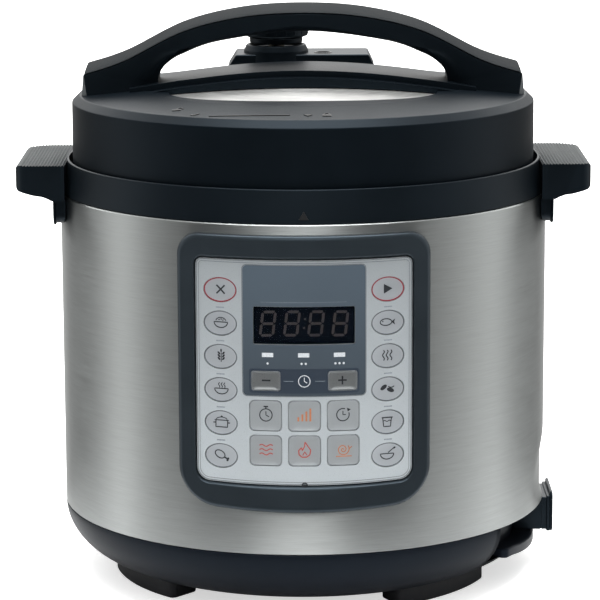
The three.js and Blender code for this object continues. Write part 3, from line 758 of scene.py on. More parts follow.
def make_chamber():
    wall = 119.6
    liner = spun([(24, 50, 0.4), (112, 50, 4.0), (wall, 58, 5.0), (wall, 232.4, 0.4), (wall - 1, 232.4, 0.4),
                  (wall - 1, 58.4, 5.0), (111.6, 51, 4.0), (24, 51, 0.4)], 192, steps=6)
    piece("chamber_wall", "housing", [(liner, 0)], [LINER_STEEL], ["chamber_liner"])
    band = spun([(120, 208, 0.4), (121.6, 208, 0.4), (121.6, 231, 0.4), (120, 231, 0.4)], 192)
    lugs = bayonet_lugs(121, 125.6, 1.6, 228)
    piece("bayonet_ring", "housing", [(band, 0)] + lugs, [PRESSED], ["locking_ring"])
    plate = [(19, 53.5), (90, 53.5), (92, 55, 1.0), (92, 58.5, 1.0), (88, 60, 1.5)]
    for r in range(80, 24, -8):
        plate += [(r + 2.0, 60.0, 0.4), (r + 1.2, 59.5, 0.4), (r - 1.2, 59.5, 0.4), (r - 2.0, 60.0, 0.4)]
    plate = spun(plate + [(19, 60, 0.6)], 160, steps=3)
    piece("hot_plate", "housing", [(plate, 0)], [ALLOY], ["heating_plate"])
    cap = spun([(0, 43.5), (4.5, 43.5, 0.5), (4.5, 56.6, 0.8), (15.5, 56.6, 0.5), (15.5, 59, 1.0),
                (14, 60, 0.8), (0, 60)], 72)
    piece("sensor_button", "sensor_cap", [(cap, 0)], [ALLOY], ["sensor_cap"])
    seat = [(-36, 49.7), (-36, 37.6, 2.4), (36, 37.6, 2.4), (36, 49.7), (33.6, 49.7), (33.6, 40, 1.0),
            (-33.6, 40, 1.0), (-33.6, 49.7)]
    piece("sensor_strap", "housing", [(soft(prism(rounded(seat, 5), -10, 10, "y"), 0.4), 0)], [PRESSED],
          ["sensor_bracket"])
    turns, low, high = 3, 41.1, 55.8
    around = on_circle(40, 8.5)
    coil = [(*around[k % 40], low + (high - low) * k / (40 * turns)) for k in range(40 * turns + 1)]
    spring = piece("cap_spring", "housing", [(tube(coil, 0.7, 12), 0)], [PRESSED], ["sensor_spring"])
    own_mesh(spring)


def make_inlet():
    high, wide = INLET_HALF_Z - 0.3, INLET_HALF_Y - 0.3
    low_z, high_z = INLET_Z - high, INLET_Z + high
    barrel = soft(block(112, 142, -wide, wide, low_z, high_z), 0.8)
    seam = block(136.4, 137.0, -30, 30, 0, 60)
    collar = soft(block(139.6, 141.8, -wide - 0.9, wide + 0.9, low_z - 0.7, high_z + 0.9), 0.5)
    flange = soft(prism(box_outline(0, 32.3, 36, 23.4, 3), 141.4, 143.2, "x"), 0.6, 3, 50)
    mouth = [(-12.2, -8.3, 1.5), (12.2, -8.3, 1.5), (12.2, 3.4, 1.0), (7.6, 8.3, 1.0), (-7.6, 8.3, 1.0),
             (-12.2, 3.4, 1.0)]
    opening = prism(rounded([(y, INLET_Z + up, radius) for y, up, radius in mouth]), 127, 200, "x")
    core = block(130, 140, -wide + 0.5, wide - 0.5, low_z + 0.5, high_z - 0.5)
    groove = carve(barrel, carve(seam, core))
    parts = [(carve(part, opening), 0) for part in (groove, collar, flange)]
    piece("inlet_socket", "housing", parts, [BLACK], ["inlet_housing"])
    for name, y, z in (("line", -7, -2), ("neutral", 7, -2), ("earth", 0, 2.5)):
        pin = soft(block(127.3, 141, y - 1, y + 1, INLET_Z + z - 2, INLET_Z + z + 2), 0.6)
        piece(f"pin_{name}", "housing", [(pin, 0)], [NICKEL], [f"inlet_pin_{name}"])


def make_condensate():
    rail = [(-5, 138.4), (5, 138.4), (5, 143.6, 0.5), (12, 143.6, 0.4), (12, 146, 0.4), (-12, 146, 0.4),
            (-12, 143.6, 0.4), (-5, 143.6, 0.5)]
    stop = soft(block(-16, 16, 138.4, 147.5, 192, 194.5), 0.6)
    rail = soft(prism(rounded(rail, 3), 150, 192), 0.4, 2, 50)
    piece("cup_rail", "housing", [(rail, 0), (stop, 0)], [BLACK], ["condensate_bracket"])
    hook = [(-16, 140.8), (-5.4, 140.8), (-5.4, 143.2), (-12.4, 143.2), (-12.4, 146.4), (12.4, 146.4),
            (12.4, 143.2), (5.4, 143.2), (5.4, 140.8), (16, 140.8), (16, 147.6), (-16, 147.6)]
    outside = soft(prism(box_outline(0, 156.8, 52, 20, 6, 8), 124, 191.6), 1.0, 3, 60)
    inside = prism(box_outline(0, 156.8, 48.8, 16.8, 4.4, 8), 125.8, 250)
    parts = [(carve(outside, inside), 0), (soft(prism(hook, 150, 191.2), 0.3, 2, 60), 0)]
    piece("drip_cup", "condensate_cup", parts, [CLEAR], ["condensate_cup"])


def make_boards():
    board = soft(block(-46, 46, -126, -124.4, 92, 196), 0.2, 2)
    chips = [soft(block(x, x + w, -124.5, -122.4, z, z + h), 0.25, 2)
             for x, z, w, h in ((-30, 120, 18, 18), (6, 112, 12, 9), (10, 150, 20, 12), (-38, 165, 9, 20))]
    piece("key_board", "housing", [(board, 0)] + [(c, 1) for c in chips], [BOARD, DISPLAY_BODY],
          ["control_board"])
    base = soft(block(-50, 40, 16, 70, 24, 25.6), 0.2, 2)
    block_part = soft(block(-40, -18, 28, 50, 25, 42), 0.8, 3)
    cans = [spun([(0, 25), (8, 25, 0.6), (8, top, 1.0), (6.4, top, 0.3), (6.2, top - 0.4, 0.3),
                  (0, top - 0.4)], 40, 8, y, 3) for y, top in ((34, 44), (56, 40))]
    piece("supply_board", "housing", [(base, 0), (block_part, 1)] + [(c, 2) for c in cans],
          [BOARD, DISPLAY_BODY, ALLOY], ["power_board"])


# ---------- control panel ----------

def on_drum(radius):
    """Places (x, out, z) on the drum's curve at a radius, as seen from the front."""
    return lambda x, out, z: (x, -math.sqrt(max((radius + out) ** 2 - x * x, 0)), z)


def panel_outline(half, low, high, top_corner, bottom_corner, bow):
    """A panel edge with a bowed bottom; the same number of points whatever its size."""
    corners = [arc(half - bottom_corner, low + bottom_corner, bottom_corner, -90, 0, 10),
               arc(half - top_corner, high - top_corner, top_corner, 0, 90, 10),
               arc(-half + top_corner, high - top_corner, top_corner, 90, 180, 10),
               arc(-half + bottom_corner, low + bottom_corner, bottom_corner, 180, 270, 10)]
    points = []
    for i, corner in enumerate(corners):
        a, b = corner[-1], corners[(i + 1) % 4][0]
        points += corner
        points += [(a[0] + (b[0] - a[0]) * k / 20, a[1] + (b[1] - a[1]) * k / 20) for k in range(1, 20)]
    middle = (low + high) / 2
    return [(x, z + bow * (x / half) ** 2 * max(0.0, (middle - z) / (middle - low))) for x, z in points]


# Half its width, its lower and upper edge, its corners' radius at the top and bottom, and its bow.
SHEET_EDGE = (57.5, 80.3, 202.0, 3.7, 6.7, 1.0)


def make_bezel():
    outer = panel_outline(67.4, 65.2, 215.2, 12.0, 20.0, 3.5)
    inner = panel_outline(57.8, 80.0, 202.3, 4.0, 7.0, 1.0)
    loops = [(0, 138.5), (0, 141.2), (0.015, 141.8), (0.05, 142.35), (0.1, 142.75), (0.16, 142.95),
             (0.22, 143.0), (0.5, 142.6), (0.84, 142.05), (0.885, 141.9), (0.915, 141.5), (0.94, 140.9),
             (0.97, 140.2), (1.0, 139.6), (1.0, 138.5)]
    sections = []
    for share, radius in loops:
        place = on_drum(radius)
        sections.append([place(a[0] + (b[0] - a[0]) * share, 0, a[1] + (b[1] - a[1]) * share)
                         for a, b in zip(outer, inner)])
    piece("panel_surround", "housing", [(loft(sections, closed=True), 0)], [BEZEL_GREY], ["panel_bezel"],
          40)


# Each key: degrees round the panel, height of its centre, width, height and corner radius.
KEYS = {}
OVAL_CORNER = 6
for i, place in enumerate(("top", "second", "third", "fourth", "fifth", "bottom")):
    for side, turn in (("left", -18.5), ("right", 18.5)):
        KEYS[f"key_{side}_{place}"] = (turn, 185.3 - 18.05 * i, 18.2, 13.0, 6.49)
for i, place in enumerate(("left", "middle", "right")):
    KEYS[f"key_upper_{place}"] = (8.45 * (i - 1), 118.1, 17.0, 16.4, 2.5)
    KEYS[f"key_lower_{place}"] = (8.45 * (i - 1), 99.1, 17.0, 16.4, 2.5)
KEYS["key_minus"] = (-8.35, CLOCK_Z, 15.3, 10.2, 1.2)
KEYS["key_plus"] = (8.35, CLOCK_Z, 15.3, 10.2, 1.2)


def key_edge(width, height, corner, grow=0.0):
    if corner > OVAL_CORNER:
        return oval(0, 0, width / 2 + grow, height / 2 + grow, steps=72)
    return box_outline(0, 0, width + 2 * grow, height + 2 * grow, corner + grow, 8)


def through(edge):
    """An edge seen from the front, carried through the panel."""
    return prism(edge, -200, -100, "y")


def key_hole(name, grow):
    turn, z, width, height, corner = KEYS[name]
    edge = [(u, z + v) for u, v in key_edge(width, height, corner, grow)]
    return turned_about(through(edge), turn)


def curved_slab(inner, outer, edge):
    slab = prism(sector(inner, outer, 0, 56, 96), 60, 220)
    return carve(slab, through(edge), how="INTERSECT")


def drawn(points, width, place, lift=0.06, sink=0.15, closed=False):
    """A printed line of a width along (u, v) points, laid on a surface given by place(u, out, v)."""
    path = []
    count = len(points)
    for i in range(count if closed else count - 1):
        a, b = Vector(points[i]), Vector(points[(i + 1) % count])
        steps = max(1, math.ceil((b - a).length / 0.8))
        path += [a + (b - a) * k / steps for k in range(steps)]
    if not closed:
        path.append(Vector(points[-1]))
    sections = []
    total = len(path)
    for i, p in enumerate(path):
        before = path[(i - 1) % total] if closed or i else p
        after = path[(i + 1) % total] if closed or i < total - 1 else p
        ahead = after - before
        ahead = ahead.normalized() if ahead.length > 1e-9 else Vector((1, 0))
        aside = Vector((-ahead.y, ahead.x)) * (width / 2)
        a, b = p + aside, p - aside
        sections.append([place(a.x, lift, a.y), place(b.x, lift, b.y), place(b.x, -sink, b.y),
                         place(a.x, -sink, a.y)])
    return loft(sections, closed)


def filled(points, place, lift=0.06, sink=0.15):
    """A printed shape, laid on a surface like a drawn line."""
    flat, faces = prism(points, -sink, lift)
    return [place(u, out, v) for u, v, out in flat], faces


def arc(cx, cy, r, start, end, steps=16, ry=None):
    angles = [math.radians(start + (end - start) * k / steps) for k in range(steps + 1)]
    return [(cx + r * math.cos(a), cy + (ry or r) * math.sin(a)) for a in angles]


def oval(cx, cy, rx, ry, turn=0.0, steps=20):
    c, s = math.cos(math.radians(turn)), math.sin(math.radians(turn))
    points = [(rx * math.cos(a), ry * math.sin(a)) for a in [2 * math.pi * k / steps for k in range(steps)]]
    return [(cx + u * c - v * s, cy + u * s + v * c) for u, v in points]


def wave(x0, x1, y, height, turns=1.5, upright=False, steps=18):
    line = [(x0 + (x1 - x0) * k / steps, y + height * math.sin(2 * math.pi * turns * k / steps))
            for k in range(steps + 1)]
    return [(b, a) for a, b in line] if upright else line


def spiral(cx, cy, r, turns, steps=40):
    return [(cx + r * (k / steps) * math.cos(2 * math.pi * turns * k / steps),
             cy + r * (k / steps) * math.sin(2 * math.pi * turns * k / steps)) for k in range(steps + 1)]


BOWL = [("line", arc(0, 0.4, 3.8, 180, 360, 18, 3.0), 0.55, True)]
PICTURES = {
    "key_left_top": [("line", [(-2.3, s * -2.3), (2.3, s * 2.3)], 0.85) for s in (1, -1)],
    "key_left_second": BOWL + [("line", arc(0, 0.6, 2.9, 15, 165, 12, 2.3), 0.5)]
                       + [("fill", oval(u, v, 0.5, 0.28, t)) for u, v, t in ((-1, 1.7, 30), (0.2, 2.0, -20),
                                                                            (1.2, 1.5, 60))],
    "key_left_third": [("line", [(0, -3.2), (0, 2.0)], 0.45)]
                      + [("fill", oval(s * 1.25, v, 1.05, 0.5, s * 48)) for s in (-1, 1)
                         for v in (-1.4, 0.1, 1.6)] + [("fill", oval(0, 3.0, 0.45, 0.95))],
    "key_left_fourth": BOWL + [("line", wave(0.9, 3.7, u, 0.35, 1.2, True), 0.45) for u in (-1.3, 0.2, 1.7)],
    "key_left_fifth": [("line", [(-3.3, 1.1), (-3.3, -2.6), (3.3, -2.6), (3.3, 1.1)], 0.55),
                       ("line", [(-4.0, 1.1), (4.0, 1.1)], 0.55),
                       ("line", arc(0, 1.3, 3.1, 8, 172, 12, 1.5), 0.5),
                       ("fill", oval(0, 3.2, 0.6, 0.45)), ("line", [(-4.7, -0.2), (-3.5, -0.2)], 0.6),
                       ("line", [(3.5, -0.2), (4.7, -0.2)], 0.6)],
    "key_left_bottom": [("line", oval(-1.1, 0.5, 2.9, 2.0, -28), 0.6, True),
                        ("line", [(1.2, -0.9), (3.2, -2.1)], 0.8),
                        ("fill", oval(3.5, -1.7, 0.62, 0.62)), ("fill", oval(3.1, -2.6, 0.62, 0.62))],
    "key_right_top": [("fill", [(-1.9, -2.6), (2.9, 0.0), (-1.9, 2.6)])],
    "key_right_second": [("line", oval(-0.7, 0, 3.3, 1.8), 0.55, True),
                         ("fill", [(2.3, 0.0), (4.4, 1.7), (3.9, 0.0), (4.4, -1.7)]),
                         ("fill", oval(-2.5, 0.4, 0.38, 0.38))],
    "key_right_third": [("line", wave(-2.7, 2.9, u, 0.5, 1.5, True), 0.6) for u in (-2.1, 0.0, 2.1)],
    "key_right_fourth": [("fill", oval(-2.0, 0.7, 2.1, 1.15, 35)), ("fill", oval(1.9, -0.9, 2.1, 1.15, -20)),
                         ("line", arc(2.3, 1.6, 1.7, 200, 340, 10, 1.1), 0.55)],
    "key_right_fifth": [("line", [(-2.5, 2.1), (-1.9, -2.7), (1.9, -2.7), (2.5, 2.1)], 0.55),
                        ("line", [(-3.1, 2.2), (3.1, 2.2)], 0.7),
                        ("line", wave(-2.1, 2.1, 0.3, 0.3, 1.5), 0.45)],
    "key_right_bottom": BOWL + [("line", [(0.6, 0.9), (3.7, 3.4)], 0.55),
                                ("fill", oval(4.0, 3.5, 0.75, 0.5, 38))],
    "key_upper_left": [("line", oval(0, 0, 3.0, 3.0), 0.55, True),
                       ("line", [(0, 1.8), (0, 0), (1.5, -0.9)], 0.5),
                       ("line", [(-1.1, 4.1), (1.1, 4.1)], 0.75), ("line", [(0, 3.0), (0, 4.0)], 0.6)],
    "key_upper_middle": [("line", [(u, -2.9), (u, top)], 1.0)
                         for u, top in ((-2.9, -0.9), (-1.0, 0.5), (0.9, 1.9), (2.8, 3.3))],
    "key_upper_right": [("line", arc(0, 0, 3.0, 70, 380, 26), 0.55),
                        ("line", [(0, 1.8), (0, 0), (1.4, 0)], 0.5),
                        ("fill", [(1.9, 3.3), (3.8, 2.5), (2.3, 1.5)])],
    "key_lower_left": [("line", wave(-3.2, 3.2, v, 0.45, 1.5), 0.6) for v in (-2.1, 0.0, 2.1)],
    "key_lower_middle": [("line", [(0.2, 4.0), (1.6, 1.9), (2.9, 0.0), (2.5, -2.3), (0.9, -3.4),
                                   (-1.2, -3.4), (-2.6, -2.2), (-2.8, -0.2), (-1.5, 1.2), (-1.1, -0.2),
                                   (0.0, 1.8)], 0.6, True),
                         ("line", [(-0.9, -2.6), (0.1, -0.8), (1.1, -2.4)], 0.5)],
    "key_lower_right": [("line", spiral(0, 0, 3.1, 2.1), 0.55), ("line", [(3.0, 0.3), (4.3, 1.4)], 0.5),
                        ("line", [(-3.4, -3.3), (4.2, -3.3)], 0.5)],
    "key_minus": [("line", [(-2.3, 0), (2.3, 0)], 0.85)],
    "key_plus": [("line", [(-2.3, 0), (2.3, 0)], 0.85), ("line", [(0, -2.3), (0, 2.3)], 0.85)],
}
INKS = {"key_upper_middle": ORANGE_INK, "key_lower_left": RED_INK, "key_lower_middle": RED_INK,
        "key_lower_right": ORANGE_INK}


def pictures(items, place, kind):
    return [(filled(item[1], place) if item[0] == "fill"
             else drawn(item[1], item[2], place, closed=len(item) > 3), kind) for item in items]


def make_key(name):
    turn, z, width, height, corner = KEYS[name]
    is_oval = corner > OVAL_CORNER
    power = 2 if is_oval else 5
    hollow = 0.95 if is_oval else 0.6

    def inward(u, v):
        share = ((abs(u) * 2 / width) ** power + (abs(v) * 2 / height) ** power) ** (1 / power)
        share = min(share, 1.0)
        return hollow * (1 - share ** (2 if is_oval else 4))

    def place(u, out, v):
        return (u, -(KEY_FACE - inward(u, v) + out), z + v)

    edge = key_edge(width, height, corner)
    sections = [[(u, -KEY_BACK, z + v) for u, v in edge], [(u, -(KEY_FACE - 0.22), z + v) for u, v in edge]]
    for share in (0.985, 0.955, 0.92, 0.84, 0.74, 0.62, 0.48, 0.34, 0.2, 0.08):
        sections.append([place(u * share, 0.0, v * share) for u, v in edge])
    cap = loft(sections)
    # The rim band round the cap: on the two top keys a printed red ring, on the others a painted shade line
    # for the shadow at the key's edge.
    ringed = name in ("key_left_top", "key_right_top")
    wide = 0.62 if ringed else 0.38
    rim = drawn([(u * 0.972, v * 0.972) for u, v in edge], wide, place, 0.05, 0.2, closed=True)
    items = PICTURES[name]
    if "upper" in name or "lower" in name:
        items = [(i[0], [(u * 1.12, v * 1.12 + 0.2) for u, v in i[1]], *i[2:]) for i in items]
    silver = name in ("key_minus", "key_plus")
    parts = [(cap, 0), (rim, 1)] + pictures(items, place, 2)
    parts = [(turned_about(part, turn), kind) for part, kind in parts]
    face = KEY_SILVER if silver else KEY_WHITE if is_oval else KEY_PALE
    edge = EDGE_RED if ringed else EDGE_INK_AND_SHADE if is_oval else SQUARE_RIM_SHADE
    piece(name + "_cap", name, parts, [face, edge, INKS.get(name, DARK_INK)], [name],
          40)


PLATE_LIFT, STRIP_LIFT = 0.16, 0.19  # raised fields of the sheet: round the display, and the clock's


def dash(turn, z, above):
    """A small lamp mark above an oval key."""
    def place(u, out, v):
        spot = (u, -(SHEET_R + out - u * u / (2 * SHEET_R)), z + v)
        return turned_about(([spot], []), turn)[0][0]

    return drawn([(-2.3, above), (2.3, above)], 0.75, place, 0.03, 0.2), 3


def sheet_lines():
    """Lines along the edges of the sheet and the plate, the lamp marks and the notch at the bottom."""
    flat = on_drum(SHEET_R)
    half, low, high, top, bottom, bow = SHEET_EDGE
    parts = []
    for inset, width in ((0.45, 0.35), (1.6, 0.22)):
        edge = panel_outline(half - inset, low + inset, high - inset, top - inset, bottom - inset, bow)
        parts.append((drawn(edge, width, flat, 0.09, 0.2, True), 2))
    parts.append((drawn(box_outline(0, PLATE_Z, 65.6, 70.8, 2.4, 6), 0.35, flat, 0.1, 0.2, True), 2))
    for name, (turn, z, width, height, corner) in KEYS.items():
        if corner > OVAL_CORNER and name not in ("key_left_top", "key_right_top"):
            parts.append(dash(turn, z, height / 2 + 2.1))
    parts.append((drawn(oval(0, 80.6, 1.3, 0.9), 0.7, flat, 0.1, 0.2, True), 6))
    return parts


def plate_marks():
    """Three level bars with one, two and three dots under them, and a line above the display."""
    raised = on_drum(SHEET_R + PLATE_LIFT)
    parts = [(drawn([(-23, 179.6), (22.5, 179.6)], 0.28, raised, 0.03, 0.2), 5)]
    for count, x in ((1, -19.4), (2, -0.3), (3, 18.7)):
        parts.append((drawn([(x - 3.0, 151.2), (x + 3.0, 151.2)], 2.3, raised, 0.04, 0.2), 4))
        for k in range(count):
            dot = oval(x + (k - (count - 1) / 2) * 2.2, 146.6, 0.6, 0.6)
            parts.append((filled(dot, raised, 0.04, 0.2), 4))
    return parts


def strip_marks():
    """A clock between minus and plus, with a short line on each side."""
    lifted = on_drum(SHEET_R + STRIP_LIFT)
    parts = [(drawn(oval(0, CLOCK_Z, 3.1, 3.1), 0.42, lifted, 0.04, 0.2, True), 4),
             (drawn([(0, CLOCK_Z + 2.0), (0, CLOCK_Z), (1.5, CLOCK_Z - 0.9)], 0.42, lifted, 0.04, 0.2), 4)]
    for x in (-8.4, 8.4):
        parts.append((drawn([(x - 2.6, CLOCK_Z), (x + 2.6, CLOCK_Z)], 0.35, lifted, 0.04, 0.2), 5))
    return parts


def make_sheet():
    sheet = curved_slab(138.4, SHEET_R, panel_outline(*SHEET_EDGE))
    holes = [key_hole(name, 0.3) for name in KEYS]
    opening = through(box_outline(0, DISPLAY_Z, 53.8, 20.4, 0.8))
    notch = through(oval(0, 80.0, 1.7, 1.3))
    parts = [(carve(sheet, joined(*holes, opening, notch)), 0)]
    small_holes = [key_hole(name, 0.35) for name in ("key_minus", "key_plus")]
    plate = curved_slab(SHEET_R - 0.1, SHEET_R + PLATE_LIFT, box_outline(0, PLATE_Z, 65.0, 70.2, 2.2, 6))
    plate_opening = through(box_outline(0, DISPLAY_Z, 54.0, 20.6, 1.0))
    parts.append((carve(plate, joined(*small_holes, plate_opening)), 1))
    parts += sheet_lines() + plate_marks()
    strip = curved_slab(SHEET_R, SHEET_R + STRIP_LIFT, box_outline(0, CLOCK_Z, 58.6, 13.2, 1.4, 4))
    parts.append((carve(strip, joined(*small_holes)), 7))
    parts += strip_marks()
    piece("panel_sheet", "housing", parts,
          [SHEET, PLATE, EDGE_INK_AND_SHADE, DASH_INK, PALE_INK, LINE_INK, DARK_INK, PLATE_DARK],
          ["panel_overlay"], 25)
    window = curved_slab(138.6, SHEET_R - 0.05, box_outline(0, DISPLAY_Z, 53.2, 19.8, 0.7))
    piece("window_glass", "housing", [(window, 0)], [WINDOW], ["display_window"], 25)


LEAN = 0.12


def digit(cx, cz, place):
    """Seven unlit segments, leaning a little."""
    w, h, t, gap = 3.35, 6.3, 0.72, 0.28
    parts = []
    for x0, z0, x1, z1 in ((-w, h, w, h), (-w, 0, w, 0), (-w, -h, w, -h), (-w, 0, -w, h), (w, 0, w, h),
                           (-w, -h, -w, 0), (w, -h, w, 0)):
        a, b = Vector((x0, z0)), Vector((x1, z1))
        ahead = (b - a).normalized()
        aside = Vector((-ahead.y, ahead.x)) * t
        a, b = a + ahead * gap, b - ahead * gap
        shape = [a, a + ahead * t + aside, b - ahead * t + aside, b, b - ahead * t - aside,
                 a + ahead * t - aside]
        parts.append(filled([(cx + p.x + p.y * LEAN, cz + p.y) for p in shape], place, 0.08, 0.1))
    return joined(*parts)


def make_display():
    body = soft(block(-26.6, 26.6, -135.3, -126.4, 156.8, 177.2), 0.4)
    middle = 167.3

    def place(x, out, z):
        return x, -(135.3 + out), z

    parts = [(body, 0)] + [(digit(x, middle, place), 1) for x in (-19.2, -6.4, 6.4, 19.2)]
    for rise in (-2.4, 2.4):
        dot = oval(0.2 + rise * LEAN, middle + rise, 0.62, 0.62)
        parts.append((filled(dot, place, 0.08, 0.1), 1))
    piece("digit_block", "housing", parts, [DISPLAY_BODY, SEGMENT], ["display_module"])


# ---------- pot and lid ----------

def dome(r):
    return 275.6 + 4.6 * (1 - (r / 86.0) ** 2)


def pan_line(offset):
    """Outside of the lid pan from its skirt to the axis, moved out by an offset."""
    points = [(128.4, 262), (126.8, 265.8), (124, 268.5), (118, 270.2), (110, 271.5), (95, 273.6)]
    points += [(r, dome(r)) for r in range(86, 0, -6)] + [(0, dome(0))]
    return [(r + offset if r else 0, z + offset) for r, z in points]


def under_pan(offset):
    outside = pan_line(offset)
    return lathe([(0, 200), (outside[0][0], 200)] + outside, 160)


def lid_top(r):
    return 274.5 + 3.3 * (126.5 - r) / 34.5 if r > 92 else 277.8


def make_pot():
    pot = spun([(0, 60.4), (100, 60.4, 6), (108.5, 63.9, 8), (112, 72.4, 8), (112, 228, 1), (114, 231.5, 1.5),
                (119.4, 232.7, 0.8), (119.4, 235.2, 0.8), (113.2, 235.2, 1.2), (110.8, 228, 1),
                (110.8, 72.9, 7), (107.7, 65.2, 7), (99.8, 61.6, 5), (0, 61.6)], 224, steps=6)
    piece("cooking_pot", "inner_pot", [(pot, 0)], [PAN_STEEL], ["inner_pot"])
    seal = spun([(110.5, 235.5, 0.4), (120.8, 235.5, 0.8), (121.6, 247, 1.2), (117.4, 247, 1.0),
                 (117, 239.8, 1.0), (110.5, 238.2, 0.8)], 192, steps=5)
    piece("lid_seal", "sealing_ring", [(seal, 0)], [SILICONE], ["sealing_ring"])


def bore(radius, segments, x, y):
    """A round hole through the lid."""
    return lathe([(0, 250), (radius, 250), (radius, 300), (0, 300)], segments, x, y)


def make_lid_pan():
    outer = [(128.4, 222.4), (128.4, 262)] + pan_line(0)[1:]
    inner = list(reversed(pan_line(-1.6))) + [(126.8, 222.4), (127.2, 222.0), (128.0, 222.0)]
    shell = carve(lathe(outer + inner, 192), bore(1.6, 24, VALVE_X, VALVE_Y), bore(3.1, 32, FLOAT_X, FLOAT_Y))
    lugs = bayonet_lugs(122.2, 127.4, 1.5, 222)
    piece("lid_inner_pan", "lid", [(shell, 0)] + lugs, [PAN_STEEL], ["lid_pan"], 40)
    circle = on_circle(96, 114.6)
    hoop = tube([(x, y, 242.6) for x, y in circle], 1.1, 12, True)
    parts = [(hoop, 0)]
    for x, y in circle[24::32]:
        parts.append((spun([(0, 242.6), (1.5, 242.6), (1.5, 267, 0.5), (0, 267)], 16, x, y), 0))
    piece("seal_rack", "lid", parts, [PRESSED], ["sealing_ring_rack"])


def bezier(p0, p1, p2, p3, steps=20):
    """The points of a cubic curve after its start."""
    weights = [((1 - t) ** 3, 3 * (1 - t) ** 2 * t, 3 * (1 - t) * t * t, t ** 3)
               for t in [k / steps for k in range(1, steps + 1)]]
    return [tuple(sum(w * p[i] for w, p in zip(row, (p0, p1, p2, p3))) for i in (0, 1)) for row in weights]


def crescent(side):
    """Opening in the lid's cover, in front (side -1) or behind (side 1)."""
    left, middle, right = (-75, side * 30), (0, side * 71.5), (75, side * 30)
    line = [(-75, 0), left] + bezier(left, (-73, side * 60), (-50, side * 71.5), middle)
    line += bezier(middle, (50, side * 71.5), (73, side * 60), right) + [(75, 0)]
    return prism(line, 240, 300)


def bridge_part(half, drop):
    crown = spline([(-70, 283.6), (-34, 287.6), (0, 289), (34, 287.6), (70, 283.6), (97, 279.2)], 60)
    line = [(-97, 270), (-97, 279.2 - drop)] + [(x, z - drop) for x, z in crown] + [(97, 270)]
    return prism(line, -half, half, "y")


def lid_mark(outline, width=0.0):
    """A raised mark on top of the lid: a line if it has a width, otherwise a filled shape."""
    def place(x, out, y):
        return x, y, lid_top(math.hypot(x, y)) + out

    if width:
        return drawn(outline, width, place, 0.35, 0.3)
    return filled(outline, place, 0.4, 0.3)


def padlock(cx, cy, scale, open_shackle):
    body = [(cx - 2.6 * scale, cy - 3.4 * scale), (cx + 2.6 * scale, cy - 3.4 * scale),
            (cx + 2.6 * scale, cy + 0.4 * scale), (cx - 2.6 * scale, cy + 0.4 * scale)]
    shift = 2.0 * scale if open_shackle else 0.0
    shackle = [(u + shift, v) for u, v in arc(cx, cy + 0.4 * scale, 1.8 * scale, 0, 180, 12, 3.4 * scale)]
    return [lid_mark(body), lid_mark(shackle, 0.8 * scale)]


def make_lid_cover():
    outer = [(130.8, 231, 0.6), (130.7, 270.4, 1.2), (126.5, 274.5, 1.6), (92, 277.8, 20.0), (70.5, 277.8)]
    inner = [(70.5, 277.5)] + [(r, z) for r, z in reversed(pan_line(0.5)) if r > 74] + [(128.9, 231, 0.5)]
    shell = lathe(rounded(outer + inner, 6), 256)
    shell = carve(shell, crescent(-1), crescent(1))
    envelope = under_pan(0.5)
    ridge = soft(carve(bridge_part(24, 0), envelope), 0.9, 3, 40)
    step = soft(carve(bridge_part(30, 3.4), envelope), 0.7, 3, 40)
    marks = [lid_mark([(-50, -112.2), (-38, -113.3), (-24, -114.4), (-7, -115.2)], 0.9),
             lid_mark([(-59.8, -107.0), (-58.6, -109.0), (-55.6, -105.0)], 0.9),
             lid_mark([(0.2, -114.4), (4.8, -114.4), (2.5, -118.0)])]
    marks += padlock(-68, -91, 0.9, True) + padlock(12.5, -114.5, 0.9, False)
    parts = [(shell, 0), (ridge, 0), (step, 0)] + [(m, 1) for m in marks]
    piece("lid_shell", "lid", parts, [LID_BLACK, MARK_BLACK], ["lid_cover"], 35)


TOP_LINE = [(-122.5, 290), (-100, 297.4), (-67, 313.7), (-34, 321.7), (0, 323.9), (34, 321.7), (67, 313.7),
            (100, 297.4), (122.5, 290)]
GRIP_LINE = [(-81.5, 281.6), (-80.3, 287), (-76, 292.4), (-67.3, 297.7), (-45.8, 305), (0, 310.3),
             (45.8, 305),
             (67.3, 297.7), (76, 292.4), (80.3, 287), (81.5, 281.6)]


def make_arch():
    count = 72
    over = [(x, z - 3.3) for x, z in spline(TOP_LINE, count)]
    under = spline(GRIP_LINE, count)
    foot_out = [(-124.0, 273.4), (-123.4, 278.5), (-122.8, 283.5)]
    foot_in = [(-81.5, 277.0), (-81.5, 278.5), (-81.5, 280.0)]
    over = foot_out + over + [(-x, z) for x, z in reversed(foot_out)]
    under = foot_in + under + [(-x, z) for x, z in reversed(foot_in)]
    sections = []
    half = GRIP_HALF
    for i, (a, b) in enumerate(zip(over, under)):
        outer, inner = Vector(a), Vector(b)
        share = abs(2 * i / (len(over) - 1) - 1)
        reach = (outer - inner).length
        knee = inner + (outer - inner) * min(0.62, (3.2 + 15.0 * share ** 2.2) / reach)
        tuck = 4.0 + 2.5 * share
        mid = inner + (knee - inner) * 0.42
        lip = outer - (outer - inner).normalized() * 0.7
        front = [(outer, half - 0.8), (lip, half), (knee, half), (mid, half - tuck * 0.45),
                 (inner, half - tuck)]
        sections.append([(p.x, -y, p.y) for p, y in front] + [(p.x, y, p.y) for p, y in reversed(front)])
    arch = [(loft(sections), 0)]
    # Light grey strips on both ends of the arch: a painted highlight where the ends catch the light.
    highlight_strips = []
    for side in (-1, 1):
        strip = [(side * 122.9, 286.2), (side * 123.2, 286.2), (side * 124.2, 274.0), (side * 121.2, 274.0)]
        highlight_strips.append((soft(prism(strip, -half - 0.05, half + 0.05, "y"), 0.15, 2), 1))
    piece("arch_grip", "lid", arch + highlight_strips, [BLACK, ARCH_END_HIGHLIGHT], ["handle_arch"], 38)
    make_cap()


